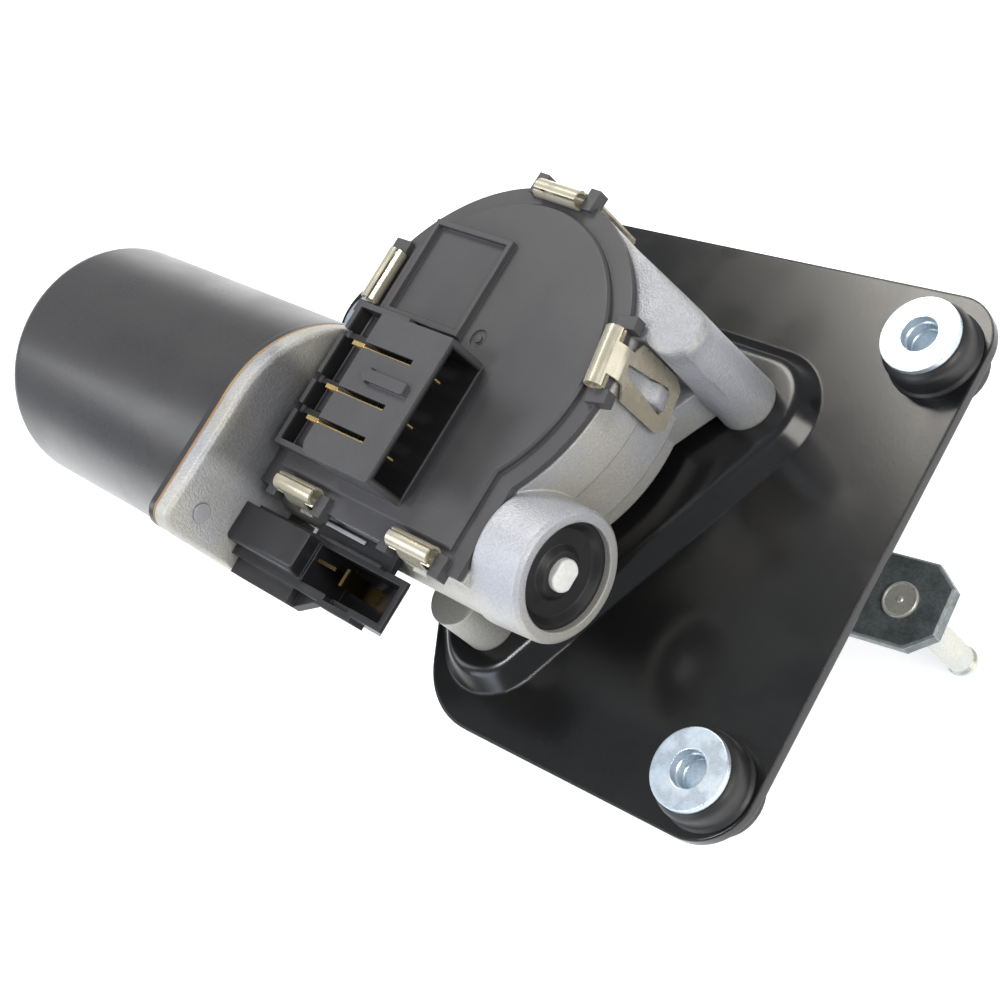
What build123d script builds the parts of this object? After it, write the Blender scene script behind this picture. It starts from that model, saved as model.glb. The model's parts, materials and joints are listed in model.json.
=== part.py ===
from build123d import *
import math
import os

# Windscreen wiper motor with its gearbox, crank arm and mounting plate, in millimetres.
# The origin is where the output shaft's axis crosses the mounting plane, which is the plane
# of the lower ends of the three bush sleeves. +X runs along the motor, from the can towards
# the worm's thrust plug, and +Z runs up the output shaft, from the crank to the gear cover.

os.makedirs("parts", exist_ok=True)

# Gear train
module = 1.25
wheel_teeth = 46
pressure_angle = 20
centre_distance = 33.5
motor_height = 36.0
tooth_backlash = 0.24
wheel_face = 7.0
worm_length = 26.0

# Motor can and flange
can_radius = 31.0
can_wall = 1.8
can_length = 89.9
can_corner = 6.0
can_pocket_radius = 9.5
can_pocket_depth = 5.0
gasket_thickness = 0.8
flange_thickness = 4.4
flange_front = -36.2
ear_reach = 32.6
ear_height = 31.2
ear_corner = 4.5
ear_screw_across = 25.3
ear_screw_up = 23.0
flange_edge = 1.2
brush_recess = 2.0
can_screw_radius = 2.25
can_screw_head = 3.1
screw_clearance = 0.05

# Armature
shaft_radius = 4.0
shaft_clearance = 0.04
bush_wall = 3.0
nose_radius = 3.0
stack_radius = 22.3
stack_length = 45.0
stack_slots = 10
slot_depth = 9.5
slot_width = 6.0
slot_mouth = 2.2
stack_end = -63.0
winding_reach = 8.0
commutator_radius = 9.0
commutator_length = 13.0
commutator_bars = 20
magnet_thickness = 5.8
magnet_arc = 128
magnet_length = 54.0

# Gear case
case_radius = 40.0
case_wall = 4.5
flange_wall = 3.0
case_top = 48.0
case_step = 0.5
case_floor = 29.0
case_bottom = 25.0
case_right = 32.3
case_low = -45.4
barrel_radius = 14.5
tunnel_radius = 7.4
base_disc_radius = 36.5
base_disc_bottom = 18.5
neck_radius = 13.0
neck_bottom = 4.0
boss_radius = 14.4
boss_root_radius = 15.0
boss_root = 33.5
boss_face = 45.1
boss_recess_radius = 11.7
boss_recess_depth = 4.8

# Pillars that stand on the plate, by distance from the output axis and angle
pillar_circle = 49.0
pillar_angles = (23.4, -73.0, 156.5)
pillar_tops = (48.0, 29.0, 29.0)
pillar_radius = 6.7
pillar_draft = 1.4
shoulder_slope = 14.0
shoulder_start = 3.8
shoulder_line_angle = 33.0
shoulder_inset = 1.6
pillar_bulge = 2.3
gusset_top = 28.0
gusset_angle = 6.5
pillar_web = 5.0
pillar_web_offset = 2.0
pillar_screw_radius = 3.0
pillar_hole_top = 26.0

# Gear cover
seal_thickness = 0.5
brim_width = 4.6
brim_thickness = 1.5
cover_rise = 1.5
cover_wall = 1.8
cover_lip = 2.5
lip_wall = 1.4
lip_root = 0.5
lip_clearance = 0.3
cover_edge_clearance = 0.3
socket_left = -15.0
socket_right = 8.3
socket_low = -37.7
socket_high = -2.8
socket_height = 11.4
socket_wall = 1.8
socket_roof = 1.6
pocket_left = -32.6
pocket_wall = 1.3
pocket_rise = 4.0
terminal_rows = (-10.9, -21.9, -29.8)
terminal_thickness = 0.8
terminal_left = -19.5
terminal_tip = 0.8
panel_left = -27.6
panel_right = -2.3
panel_low = 0.4
panel_high = 24.6
rib_thickness = 1.2
rib_height = 1.6
latch_length = 12.0
latch_width = 2.6

# Spring clips
clip_angles = (11.3, 88.0)
flange_clip_y = 8.2
worm_clip_x = (-21.0, 18.7)
clip_metal = 0.5
clip_length = 13.0
hook_width = 4.4
hook_height = 5.3
hook_slope = 1.6
strap_corner = 2.2
strap_hole_low = 6.8
strap_hole_high = 2.4
hook_grip = 0.2
hook_reach = 0.7
hook_root = 2.0
short_hook_height = 1.6
barrel_roll = 2.1
barrel_slit = 0.9
clip_inset = 1.6
clip_stand_off = 0.9
long_strap_end = 29.5
short_strap_end = 43.0
long_strap_bar = 3.5
short_strap_bar = 2.0
lug_width = 3.0
lug_reach = 2.0
lug_gap = 0.3

# Feed connector beside the flange
feed_block_right = -12.4
feed_block_top = 50.0
feed_block_reach = 12.3
feed_block_bottom = 30.0
feed_block_gap = 3.0
feed_socket_right = 16.9
feed_socket_reach = 15.3
feed_socket_gap = 2.1
feed_rim = 1.0
feed_slope_end = 2.0
feed_bump_left = -4.0
feed_bump_right = 7.4
feed_bump_reach = 1.3
feed_ledge_reach = 2.3
feed_ledge_height = 2.5
feed_belly_reach = 6.0
feed_belly_top = 43.5
feed_belly_bottom = 38.5
feed_belly_right = -15.0
feed_foot_right = -6.0
feed_foot_length = 5.0
feed_socket_top = 46.0
feed_socket_bottom = 30.0
feed_wall = 1.5
feed_blade_width = 6.3
feed_blade_thickness = 0.8
feed_blade_top = 40.0

# Mounting plate
plate_top = 11.0
plate_thickness = 2.5
platform_rise = 4.5
platform_margin = 15.0
platform_slope = 38
platform_inset = 1.2
platform_corner = 9.0
platform_crest = 3.0
can_fit = 0.3
shoulder_clip_gap = 0.8
screw_head_height = 3.0
hex_socket_radius = 1.9
hex_socket_depth = 1.6
front_bush_overlap = 1.4
front_bush_length = 11.0
nose_bush_gap = 14.0
nose_bush_length = 9.0
boss_chamfer = 0.8
pad_drop = 1.0
short_hook_slope = 0.4
disc_rib = 3.0
output_bush_length = 9.0
lower_bush_raise = 2.5
plug_radius = 3.6
plug_slip = 0.05
lug_length = 5.0
socket_foot_round = 3.5
insert_depth = 6.4
latch_right = 5.0
latch_height = 1.4
strap_bend = 1.6
clip_bend_ease = 0.2
socket_depth = 5.8
feed_blade_foot = 3.0
feed_blade_left = -11.3
feed_blade_back = 7.2
feed_blade_drop = 1.0
feed_key_left = -1.8
feed_key_back = 9.4
feed_key_length = 4.0
nut_pocket_radius = 5.8
nut_pocket_depth = 4.5
hub_gap = 2.0
hub_rise = 1.5
hub_wall = 3.5
arm_seat_step = 1.0
thread_step = 2.0
shaft_end_rise = 2.0
wheel_pocket_radius = 2.6
cam_thickness = 0.6
shaft_rear_rise = 1.0
shaft_nose_rise = 0.6
shaft_ball_radius = 1.6
thread_sink = 0.3
slot_bridge = 1.8
winding_round = 2.2
commutator_lap = 2.0
brush_plate_lap = 2.0
brush_box_length = 13.0
brush_length = 9.0
plate_shaft_clearance = 3.0
bush_hole_radius = 7.6
bush_points = ((81.5, -54.5), (77.4, 43.4), (-70.0, 6.0))

# Bushes in the plate
sleeve_length = 19.6
sleeve_bore = 3.3
sleeve_mouth = 4.0
sleeve_step = 0.35
sleeve_step_depth = 2.0
sleeve_radius = 4.9
sleeve_flange = 8.54
sleeve_flange_thickness = 1.4
rubber_radius = 9.7
rubber_round = 2.6
rubber_lip = 0.6
rubber_under = 9.0
rubber_foot = 3.2

# Output shaft and crank
output_radius = 6.0
output_bush_wall = 2.0
arm_top = -14.0
arm_thickness = 3.0
arm_width = 19.6
arm_hub_radius = 13.0
arm_end = 10.5
arm_chamfer_long = 5.6
arm_chamfer_wide = 4.4
arm_bar_angle = 6.4
arm_bar_length = 45.0
crank_radius = 82.8
crank_angle = -0.6
pin_radius = 3.2
pin_collar_radius = 4.6
pin_collar_length = 3.0
pin_tip = -42.0
rivet_radius = 3.8
nut_across_flats = 13.0
nut_height = 6.5

# Sizes that follow from the ones above
case_left = flange_front
gasket_back = flange_front - flange_thickness - gasket_thickness
flange_back = gasket_back + gasket_thickness
can_back = gasket_back - can_length
can_inner_radius = can_radius - can_wall
wheel_pitch_radius = module * wheel_teeth / 2
wheel_tip_radius = wheel_pitch_radius + module
wheel_root_radius = wheel_pitch_radius - 1.25 * module
wheel_base_radius = wheel_pitch_radius * math.cos(math.radians(pressure_angle))
worm_pitch_radius = centre_distance - wheel_pitch_radius
worm_tip_radius = worm_pitch_radius + module
worm_root_radius = worm_pitch_radius - 1.25 * module
lead = math.pi * module
lead_angle = math.degrees(math.atan(lead / (2 * math.pi * worm_pitch_radius)))
wheel_bottom = motor_height - wheel_face / 2
wheel_top = motor_height + wheel_face / 2
cavity_radius = case_radius - case_wall
platform_top = plate_top + platform_rise
platform_under = platform_top - plate_thickness
cover_base = case_top + seal_thickness
brim_top = cover_base + brim_thickness
cover_top = brim_top + cover_rise
cover_left = case_left + cover_edge_clearance
cover_right = case_right - cover_edge_clearance
recess_floor = boss_face - boss_recess_depth
arm_bottom = arm_top - arm_thickness
output_bush_radius = output_radius + shaft_clearance + output_bush_wall
pin_point = (
    crank_radius * math.cos(math.radians(crank_angle)),
    crank_radius * math.sin(math.radians(crank_angle)),
)
pillar_points = [
    (pillar_circle * math.cos(math.radians(a)), pillar_circle * math.sin(math.radians(a)))
    for a in pillar_angles
]
shoulder_corner = (
    pillar_points[0][0] - shoulder_inset,
    pillar_points[0][1] - math.sqrt(pillar_radius**2 - shoulder_inset**2) + pillar_bulge,
)
shoulder_root_angle = math.radians(clip_angles[0]) + math.asin(
    (clip_length / 2 + shoulder_clip_gap) / case_radius
)
shoulder_root = (
    (case_radius - case_step) * math.cos(shoulder_root_angle),
    (case_radius - case_step) * math.sin(shoulder_root_angle),
)
gusset_foot = (
    base_disc_radius * math.cos(math.radians(gusset_angle)),
    base_disc_radius * math.sin(math.radians(gusset_angle)),
)
shoulder_fall = 2 * pillar_radius * math.tan(math.radians(shoulder_slope))
shoulder_view = Plane.XZ.rotated((0, 0, shoulder_line_angle))
clip_spots = [
    (case_radius * math.cos(math.radians(a)), case_radius * math.sin(math.radians(a)), a)
    for a in clip_angles
]
clip_spots.append((case_left, flange_clip_y, 180.0))
worm_clip_spots = [(x, case_low, -90.0) for x in worm_clip_x]
ear_screws = ((-ear_screw_across, ear_screw_up), (ear_screw_across, -ear_screw_up))

# Planes: one looks along the motor, with its own x along +Y and its own y along +Z, and
# the other is the motor's side view, with its own x along +X and its own y along +Z.
motor_origin = (0, -centre_distance, motor_height)
motor_end_view = Plane(origin=motor_origin, x_dir=(0, 1, 0), z_dir=(1, 0, 0))
motor_side_view = Plane(origin=motor_origin, x_dir=(1, 0, 0), z_dir=(0, -1, 0))
motor_axis = Axis(motor_origin, (1, 0, 0))


def save(piece, label):
    """Label a finished piece and write its STEP file."""
    piece.part.label = label
    export_step(piece.part, f"parts/{label}.step")


def block(left, right, low, high, bottom, top, mode=Mode.ADD):
    """An upright block between two corners, made in the piece that is being built."""
    with BuildSketch(Plane.XY.offset(bottom), mode=Mode.PRIVATE) as footprint:
        with Locations(((left + right) / 2, (low + high) / 2)):
            Rectangle(right - left, high - low)
    return extrude(footprint.sketch, amount=top - bottom, mode=mode)


def motor_ring(x_start, x_end, outer, inner=0.0, mode=Mode.ADD):
    """A disc or ring about the motor axis, made in the piece that is being built."""
    with BuildSketch(motor_end_view.offset(x_start), mode=Mode.PRIVATE) as ring:
        Circle(outer)
        if inner > 0:
            Circle(inner, mode=Mode.SUBTRACT)
    return extrude(ring.sketch, amount=x_end - x_start, mode=mode)


def upright_ring(bottom, top, outer, inner=0.0, centre=(0, 0), mode=Mode.ADD):
    """A disc or ring about an upright axis, made in the piece that is being built."""
    with BuildSketch(Plane.XY.offset(bottom), mode=Mode.PRIVATE) as ring:
        with Locations(centre):
            Circle(outer)
            if inner > 0:
                Circle(inner, mode=Mode.SUBTRACT)
    return extrude(ring.sketch, amount=top - bottom, mode=mode)


def flange_outline():
    """The flange's outline: a circle with two square ears on opposite sides."""
    with BuildSketch(mode=Mode.PRIVATE) as ear:
        Rectangle(ear_reach, ear_height, align=(Align.MAX, Align.MIN))
        fillet(ear.vertices().group_by(Axis.Y)[-1].sort_by(Axis.X)[0], ear_corner)
    with BuildSketch(mode=Mode.PRIVATE) as outline:
        Circle(can_radius + can_fit)
        add(ear.sketch)
        add(ear.sketch.rotate(Axis.Z, 180))
    return outline.sketch


def case_outline(radius, left, right, low):
    """The gear case from above: a disc cut off on the left and a block over the worm."""
    with BuildSketch(mode=Mode.PRIVATE) as outline:
        Circle(radius)
        with Locations((left, 0)):
            Rectangle(right - left, -low, align=(Align.MIN, Align.MAX))
            Rectangle(2 * radius, 4 * radius, align=(Align.MAX, Align.CENTER), mode=Mode.SUBTRACT)
    return outline.sketch


def case_layer(bottom, top, radius, left, right, low, mode=Mode.ADD):
    """One level of the gear case, made in the piece that is being built."""
    with BuildSketch(Plane.XY.offset(bottom), mode=Mode.PRIVATE) as layer:
        add(case_outline(radius, left, right, low))
    return extrude(layer.sketch, amount=top - bottom, mode=mode)


def cavity(bottom, top, inset, mode=Mode.ADD):
    """The round hollow over the wheel, cut off by the wall at the flange."""
    with BuildSketch(Plane.XY.offset(bottom), mode=Mode.PRIVATE) as hollow:
        Circle(cavity_radius - inset)
        with Locations((case_left + flange_wall + inset, 0)):
            Rectangle(
                2 * case_radius, 4 * case_radius, align=(Align.MAX, Align.CENTER), mode=Mode.SUBTRACT
            )
    return extrude(hollow.sketch, amount=top - bottom, mode=mode)


def hook(x, y, angle, low, height, slope):
    """A hook on the case that a clip's strap catches, with a slope above it."""
    away = math.radians(angle)
    out = (math.cos(away), math.sin(away), 0)
    side = Plane(
        origin=(x, y, low), x_dir=out, z_dir=(math.sin(away), -math.cos(away), 0)
    )
    reach = clip_stand_off + clip_metal + hook_reach
    with BuildSketch(side, mode=Mode.PRIVATE) as profile:
        Polygon(
            (-hook_root, 0),
            (reach, 0),
            (reach, height - slope),
            (0, height),
            (-hook_root, height),
            align=None,
        )
    return extrude(profile.sketch, amount=hook_width / 2, both=True)


# Motor can: a drawn steel cup with a bearing pocket and two ears
with BuildPart() as motor_can:
    motor_ring(can_back, gasket_back, can_radius)
    fillet(motor_can.edges().filter_by(GeomType.CIRCLE).sort_by(Axis.X)[0], can_corner)
    offset(amount=-can_wall, openings=motor_can.faces().sort_by(Axis.X)[-1])
    motor_ring(can_back - can_pocket_depth, can_back + can_wall, can_pocket_radius)
    fillet(motor_can.edges().filter_by(GeomType.CIRCLE).sort_by(Axis.X)[0], can_wall)
    motor_ring(
        can_back - can_pocket_depth + can_wall,
        can_back + can_wall,
        can_pocket_radius - can_wall,
        mode=Mode.SUBTRACT,
    )
    with BuildSketch(motor_end_view.offset(gasket_back - can_wall)):
        add(flange_outline())
        Circle(can_inner_radius, mode=Mode.SUBTRACT)
        with Locations(*ear_screws):
            Circle(can_screw_radius + screw_clearance, mode=Mode.SUBTRACT)
    extrude(amount=can_wall)
save(motor_can, "motor_can")

# Paper gasket between the can and the flange
with BuildPart() as can_gasket:
    with BuildSketch(motor_end_view.offset(gasket_back)):
        add(flange_outline())
        Circle(can_inner_radius, mode=Mode.SUBTRACT)
        with Locations(*ear_screws):
            Circle(can_screw_radius + screw_clearance, mode=Mode.SUBTRACT)
    extrude(amount=gasket_thickness)
save(can_gasket, "can_gasket")

# Two screws that hold the can, with their heads on the can's ears
with BuildPart() as can_screws:
    with BuildSketch(motor_end_view.offset(gasket_back - can_wall)):
        with Locations(*ear_screws):
            Circle(can_screw_radius)
    extrude(amount=can_wall + gasket_thickness + flange_thickness + can_fit)
    with BuildSketch(motor_end_view.offset(gasket_back - can_wall)):
        with Locations(*ear_screws):
            Circle(can_screw_head)
    extrude(amount=-screw_head_height)
    with BuildSketch(motor_end_view.offset(gasket_back - can_wall - screw_head_height)):
        with Locations(*ear_screws):
            RegularPolygon(hex_socket_radius, 6, major_radius=True)
    extrude(amount=hex_socket_depth, mode=Mode.SUBTRACT)
save(can_screws, "can_screws")

# Two curved magnets glued inside the can
magnet_back = stack_end - stack_length / 2 - magnet_length / 2
with BuildPart() as magnets:
    motor_ring(
        magnet_back, magnet_back + magnet_length, can_inner_radius, can_inner_radius - magnet_thickness
    )
    with BuildSketch(motor_end_view.offset(magnet_back)):
        for side in (1, -1):
            gap_slope = math.tan(math.radians(magnet_arc / 2))
            Polygon(
                (0, 0),
                (side * gap_slope * can_radius, can_radius),
                (side * 2 * gap_slope * can_radius, 0),
                (side * gap_slope * can_radius, -can_radius),
                align=None,
            )
    extrude(amount=magnet_length, mode=Mode.SUBTRACT)
save(magnets, "magnets")

# Sintered bushes for the armature: one in the can's pocket, one in the flange, one in front
rear_bush_start = can_back - can_pocket_depth + can_wall
front_bush_start = flange_front - front_bush_overlap
front_bush_end = front_bush_start + front_bush_length
nose_bush_start = worm_length / 2 + nose_bush_gap
nose_bush_end = nose_bush_start + nose_bush_length
with BuildPart() as rear_bearing:
    motor_ring(
        rear_bush_start, can_back + can_wall, can_pocket_radius - can_wall, shaft_radius + shaft_clearance
    )
save(rear_bearing, "rear_bearing")

with BuildPart() as front_bearing:
    motor_ring(
        front_bush_start,
        front_bush_end,
        shaft_radius + shaft_clearance + bush_wall,
        shaft_radius + shaft_clearance,
    )
save(front_bearing, "front_bearing")

with BuildPart() as nose_bearing:
    motor_ring(
        nose_bush_start,
        nose_bush_end,
        nose_radius + shaft_clearance + bush_wall,
        nose_radius + shaft_clearance,
    )
save(nose_bearing, "nose_bearing")

# Gear housing: flange, round case, block over the worm, worm boss and pillars in one casting
with BuildPart() as flange_plate:
    with BuildSketch(motor_end_view.offset(flange_back)):
        add(flange_outline())
    extrude(amount=flange_thickness)
    fillet(flange_plate.faces().sort_by(Axis.X)[-1].edges(), flange_edge)

with BuildSketch() as shoulder_cut:
    Polygon(
        shoulder_root,
        shoulder_corner,
        (2 * case_radius, shoulder_corner[1]),
        (2 * case_radius, -2 * case_radius),
        (0, -2 * case_radius),
        (0, 0),
        align=None,
    )
    Circle(case_radius - case_step - 1, mode=Mode.SUBTRACT)
shoulder_front = shoulder_cut.sketch

with BuildPart() as gear_housing:
    case_layer(motor_height, case_top, case_radius, case_left, case_right, case_low)
    with BuildSketch(Plane.XY.offset(case_bottom)):
        Circle(case_radius - case_step)
    extrude(amount=motor_height - case_bottom)
    with BuildSketch(Plane.XY.offset(base_disc_bottom)):
        Circle(base_disc_radius)
    extrude(amount=case_bottom - base_disc_bottom)
    block(-2 * case_radius, case_left, -case_radius, case_radius, 0, case_top, mode=Mode.SUBTRACT)
    motor_ring(case_left, boss_root, barrel_radius)
    block(case_left, case_right, -2 * case_radius, 0, case_top, case_top + 9, mode=Mode.SUBTRACT)
    with BuildSketch(motor_side_view):
        Polygon(
            (case_right, 0),
            (case_right, boss_root_radius),
            (boss_root, boss_root_radius),
            (boss_face - boss_chamfer, boss_radius),
            (boss_face, boss_radius - boss_chamfer),
            (boss_face, 0),
            align=None,
        )
    revolve(axis=motor_axis)
    upright_ring(neck_bottom, base_disc_bottom, neck_radius)
    # Shoulder that carries the tall pillar, level with the case on its far side
    with BuildSketch(Plane.XY.offset(case_bottom), mode=Mode.PRIVATE) as shoulder:
        Circle(case_radius - case_step)
        with Locations(pillar_points[0]):
            Circle(pillar_radius - case_step)
        make_hull()
        add(shoulder_front, mode=Mode.SUBTRACT)
        Rectangle(
            2 * case_radius, 4 * case_radius, align=(Align.MAX, Align.CENTER), mode=Mode.SUBTRACT
        )
    extrude(shoulder.sketch, amount=case_top - case_bottom)
    with BuildSketch(Plane.XY.offset(base_disc_bottom)):
        Polygon((0, 0), gusset_foot, shoulder_corner, pillar_points[0], align=None)
    extrude(amount=gusset_top - base_disc_bottom)
    for angle, top in list(zip(pillar_angles, pillar_tops))[1:]:
        web_plane = Plane(origin=(0, 0, base_disc_bottom), x_dir=(1, 0, 0)).rotated((0, 0, angle))
        with BuildSketch(web_plane):
            with Locations((cavity_radius, pillar_web_offset)):
                Rectangle(pillar_circle - cavity_radius, pillar_web, align=(Align.MIN, Align.CENTER))
        extrude(amount=top - pad_drop - base_disc_bottom)
    for point, top in zip(pillar_points, pillar_tops):
        with BuildSketch(Plane.XY.offset(platform_top)):
            with Locations(point):
                Circle(pillar_radius)
        extrude(amount=top - platform_top, taper=pillar_draft)
    # The shoulder's top falls away outwards from a straight line outside the case
    with BuildSketch(shoulder_view):
        Polygon(
            (case_radius + shoulder_start, case_top),
            (case_radius + 2 * pillar_radius + shoulder_start, case_top - shoulder_fall),
            (case_radius + 2 * pillar_radius + shoulder_start, case_top + 1),
            (case_radius + shoulder_start, case_top + 1),
            align=None,
        )
    extrude(amount=case_radius, both=True, mode=Mode.SUBTRACT)
    add(flange_plate.part)
    # Hooks that the clips hold on to
    for x, y, angle in clip_spots:
        hook(x, y, angle, long_strap_end + long_strap_bar + hook_grip, hook_height, hook_slope)
    for x, y, angle in worm_clip_spots:
        hook(x, y, angle, short_strap_end + short_strap_bar + hook_grip, short_hook_height, short_hook_slope)
    # Hollows
    cavity(case_floor, case_top, 0.0, mode=Mode.SUBTRACT)
    motor_ring(front_bush_end, nose_bush_start, tunnel_radius, mode=Mode.SUBTRACT)
    motor_ring(
        front_bush_start, front_bush_end, shaft_radius + shaft_clearance + bush_wall, mode=Mode.SUBTRACT
    )
    motor_ring(flange_back, front_bush_start, shaft_radius + 3 * bush_wall / 2, mode=Mode.SUBTRACT)
    motor_ring(flange_back, flange_back + brush_recess, can_inner_radius - 1, mode=Mode.SUBTRACT)
    motor_ring(
        nose_bush_start, recess_floor, nose_radius + shaft_clearance + bush_wall, mode=Mode.SUBTRACT
    )
    motor_ring(recess_floor, boss_face, boss_recess_radius, mode=Mode.SUBTRACT)
    upright_ring(neck_bottom, case_floor, output_bush_radius, mode=Mode.SUBTRACT)
    with BuildSketch(Plane.XY.offset(base_disc_bottom)):
        Circle(base_disc_radius - disc_rib)
        Circle(neck_radius + disc_rib, mode=Mode.SUBTRACT)
        with PolarLocations(0, 3):
            Rectangle(2 * base_disc_radius, disc_rib, mode=Mode.SUBTRACT)
        with Locations((case_left + disc_rib, 0)):
            Rectangle(
                base_disc_radius, 3 * base_disc_radius, align=(Align.MAX, Align.CENTER), mode=Mode.SUBTRACT
            )
    extrude(amount=case_bottom - base_disc_bottom, mode=Mode.SUBTRACT)
    with BuildSketch(Plane.XY.offset(platform_top)):
        with Locations(*pillar_points):
            Circle(pillar_screw_radius)
    extrude(amount=pillar_hole_top - platform_top, mode=Mode.SUBTRACT)
    with BuildSketch(motor_end_view.offset(flange_back)):
        with Locations(*ear_screws):
            Circle(can_screw_radius + screw_clearance)
    extrude(amount=flange_thickness, mode=Mode.SUBTRACT)
save(gear_housing, "gear_housing")

# Two bushes and a seal for the output shaft
upper_bush_bottom = case_floor - output_bush_length
lower_bush_bottom = neck_bottom + lower_bush_raise
with BuildPart() as output_bushes:
    upright_ring(
        upper_bush_bottom, case_floor, output_bush_radius, output_radius + shaft_clearance
    )
    upright_ring(
        lower_bush_bottom,
        lower_bush_bottom + output_bush_length,
        output_bush_radius,
        output_radius + shaft_clearance,
    )
save(output_bushes, "output_bushes")

with BuildPart() as shaft_seal:
    upright_ring(neck_bottom, lower_bush_bottom, output_bush_radius, output_radius + shaft_clearance)
save(shaft_seal, "shaft_seal")

# Rubber cap in the worm boss, with a hole for the thrust plug
with BuildPart() as end_cap:
    with BuildSketch(motor_side_view):
        Polygon(
            (recess_floor, plug_radius + plug_slip),
            (recess_floor, boss_recess_radius),
            (boss_face - 1.6, boss_recess_radius),
            (boss_face - 1.6, boss_recess_radius - 1.0),
            (boss_face - 3.2, boss_recess_radius - 2.2),
            (boss_face - 3.4, plug_radius + 2.4),
            (boss_face - 2.0, plug_radius + 1.2),
            (boss_face - 2.0, plug_radius + plug_slip),
            align=None,
        )
    revolve(axis=motor_axis)
save(end_cap, "end_cap")

# Nylon plug that takes the armature's thrust; two flats on its head turn it
plug_seat = nose_bush_end + 2.0
with BuildPart() as thrust_plug:
    motor_ring(plug_seat, recess_floor, nose_radius + shaft_clearance + bush_wall)
    with BuildSketch(motor_end_view.offset(recess_floor)):
        Circle(plug_radius)
        Rectangle(2 * plug_radius, 1.7 * plug_radius, mode=Mode.INTERSECT)
    extrude(amount=boss_face - 0.7 - recess_floor)
    fillet(thrust_plug.faces().sort_by(Axis.X)[-1].edges(), 0.6)
save(thrust_plug, "thrust_plug")

# Gear cover with its three-way socket, open pockets, panel and lugs
with BuildPart() as gear_cover:
    case_layer(
        cover_base, brim_top, case_radius, cover_left, cover_right, case_low
    )
    case_layer(
        brim_top,
        cover_top,
        case_radius - brim_width,
        cover_left + brim_width,
        cover_right - brim_width,
        case_low + brim_width,
    )
    chamfer(gear_cover.faces().sort_by(Axis.Z)[-1].edges(), 0.5)
    case_layer(
        cover_base,
        cover_top - cover_wall,
        cavity_radius - lip_wall,
        cover_left + brim_width + lip_wall,
        cover_right - brim_width - lip_wall,
        case_low + brim_width + lip_wall,
        mode=Mode.SUBTRACT,
    )
    cavity(case_top - cover_lip, cover_base + lip_root, lip_clearance)
    cavity(
        case_top - cover_lip, cover_base + lip_root, lip_clearance + lip_wall, mode=Mode.SUBTRACT
    )
    # Lugs beside the clips
    for x, y, angle in clip_spots + worm_clip_spots:
        lug_plane = Plane(origin=(x, y, cover_base), x_dir=(1, 0, 0)).rotated((0, 0, angle))
        with BuildSketch(lug_plane):
            with Locations((lug_reach - lug_length / 2, 0)):
                with GridLocations(1, clip_length + 2 * lug_gap + lug_width, 1, 2):
                    Rectangle(lug_length, lug_width)
        extrude(amount=brim_thickness + 1.5)
    # Socket for the control plug, open towards +X
    socket_top = cover_top + socket_height
    with BuildSketch(Plane.XY.offset(cover_top)) as socket_foot:
        with Locations(((socket_left + socket_right) / 2, (socket_low + socket_high) / 2)):
            Rectangle(socket_right - socket_left, socket_high - socket_low)
        fillet(socket_foot.vertices().sort_by_distance((socket_left, socket_low, 0))[0], socket_foot_round)
    extrude(amount=socket_height)
    block(
        socket_left + socket_wall,
        socket_right,
        socket_low + socket_wall,
        socket_high - socket_wall,
        cover_top + 0.4,
        socket_top - socket_roof,
        mode=Mode.SUBTRACT,
    )
    for row in terminal_rows:
        block(
            socket_left - 1,
            terminal_tip + 0.6,
            row - 0.7,
            row + 0.7,
            socket_top - insert_depth,
            socket_top,
            mode=Mode.SUBTRACT,
        )
    # Arrow-shaped latch on the socket's roof
    latch_y = (terminal_rows[0] + terminal_rows[1]) / 2 - 0.6
    with BuildSketch(Plane.XY.offset(socket_top)):
        with Locations((latch_right, latch_y)):
            Rectangle(latch_length, latch_width, align=(Align.MAX, Align.CENTER))
        Polygon(
            (latch_right - latch_length - 2.5, latch_y),
            (latch_right - latch_length, latch_y - latch_width * 0.7),
            (latch_right - latch_length, latch_y + latch_width * 0.7),
            align=None,
        )
    extrude(amount=latch_height)
    # Open pockets between the socket and the flange
    block(pocket_left, socket_left, socket_low + 0.7, 0.0, cover_top, cover_top + pocket_rise)
    pocket_ends = (
        (-7.2, -pocket_wall),
        (-19.0, -8.6),
        (-26.8, -20.4),
        (socket_low + 0.7 + pocket_wall, -28.2),
    )
    for low, high in pocket_ends:
        block(
            pocket_left + pocket_wall,
            socket_left,
            low,
            high,
            cover_top - 0.3,
            cover_top + pocket_rise,
            mode=Mode.SUBTRACT,
        )
    # Raised panel border and a moulding dimple
    with BuildSketch(Plane.XY.offset(cover_top)):
        with Locations(((panel_left + panel_right) / 2, (panel_low + panel_high) / 2)):
            Rectangle(panel_right - panel_left, panel_high - panel_low)
            Rectangle(
                panel_right - panel_left - 2 * rib_thickness,
                panel_high - panel_low - 2 * rib_thickness,
                mode=Mode.SUBTRACT,
            )
    extrude(amount=rib_height)
    upright_ring(cover_top - 0.5, cover_top, 2.2, 0.9, (2.4, 2.1), mode=Mode.SUBTRACT)
save(gear_cover, "gear_cover")

# Rubber seal under the cover's brim
with BuildPart() as cover_seal:
    case_layer(
        case_top, cover_base, case_radius - 1.2, cover_left + 1.2, cover_right - 1.2, case_low + 1.2
    )
    cavity(case_top, cover_base, 0.0, mode=Mode.SUBTRACT)
save(cover_seal, "cover_seal")


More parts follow.
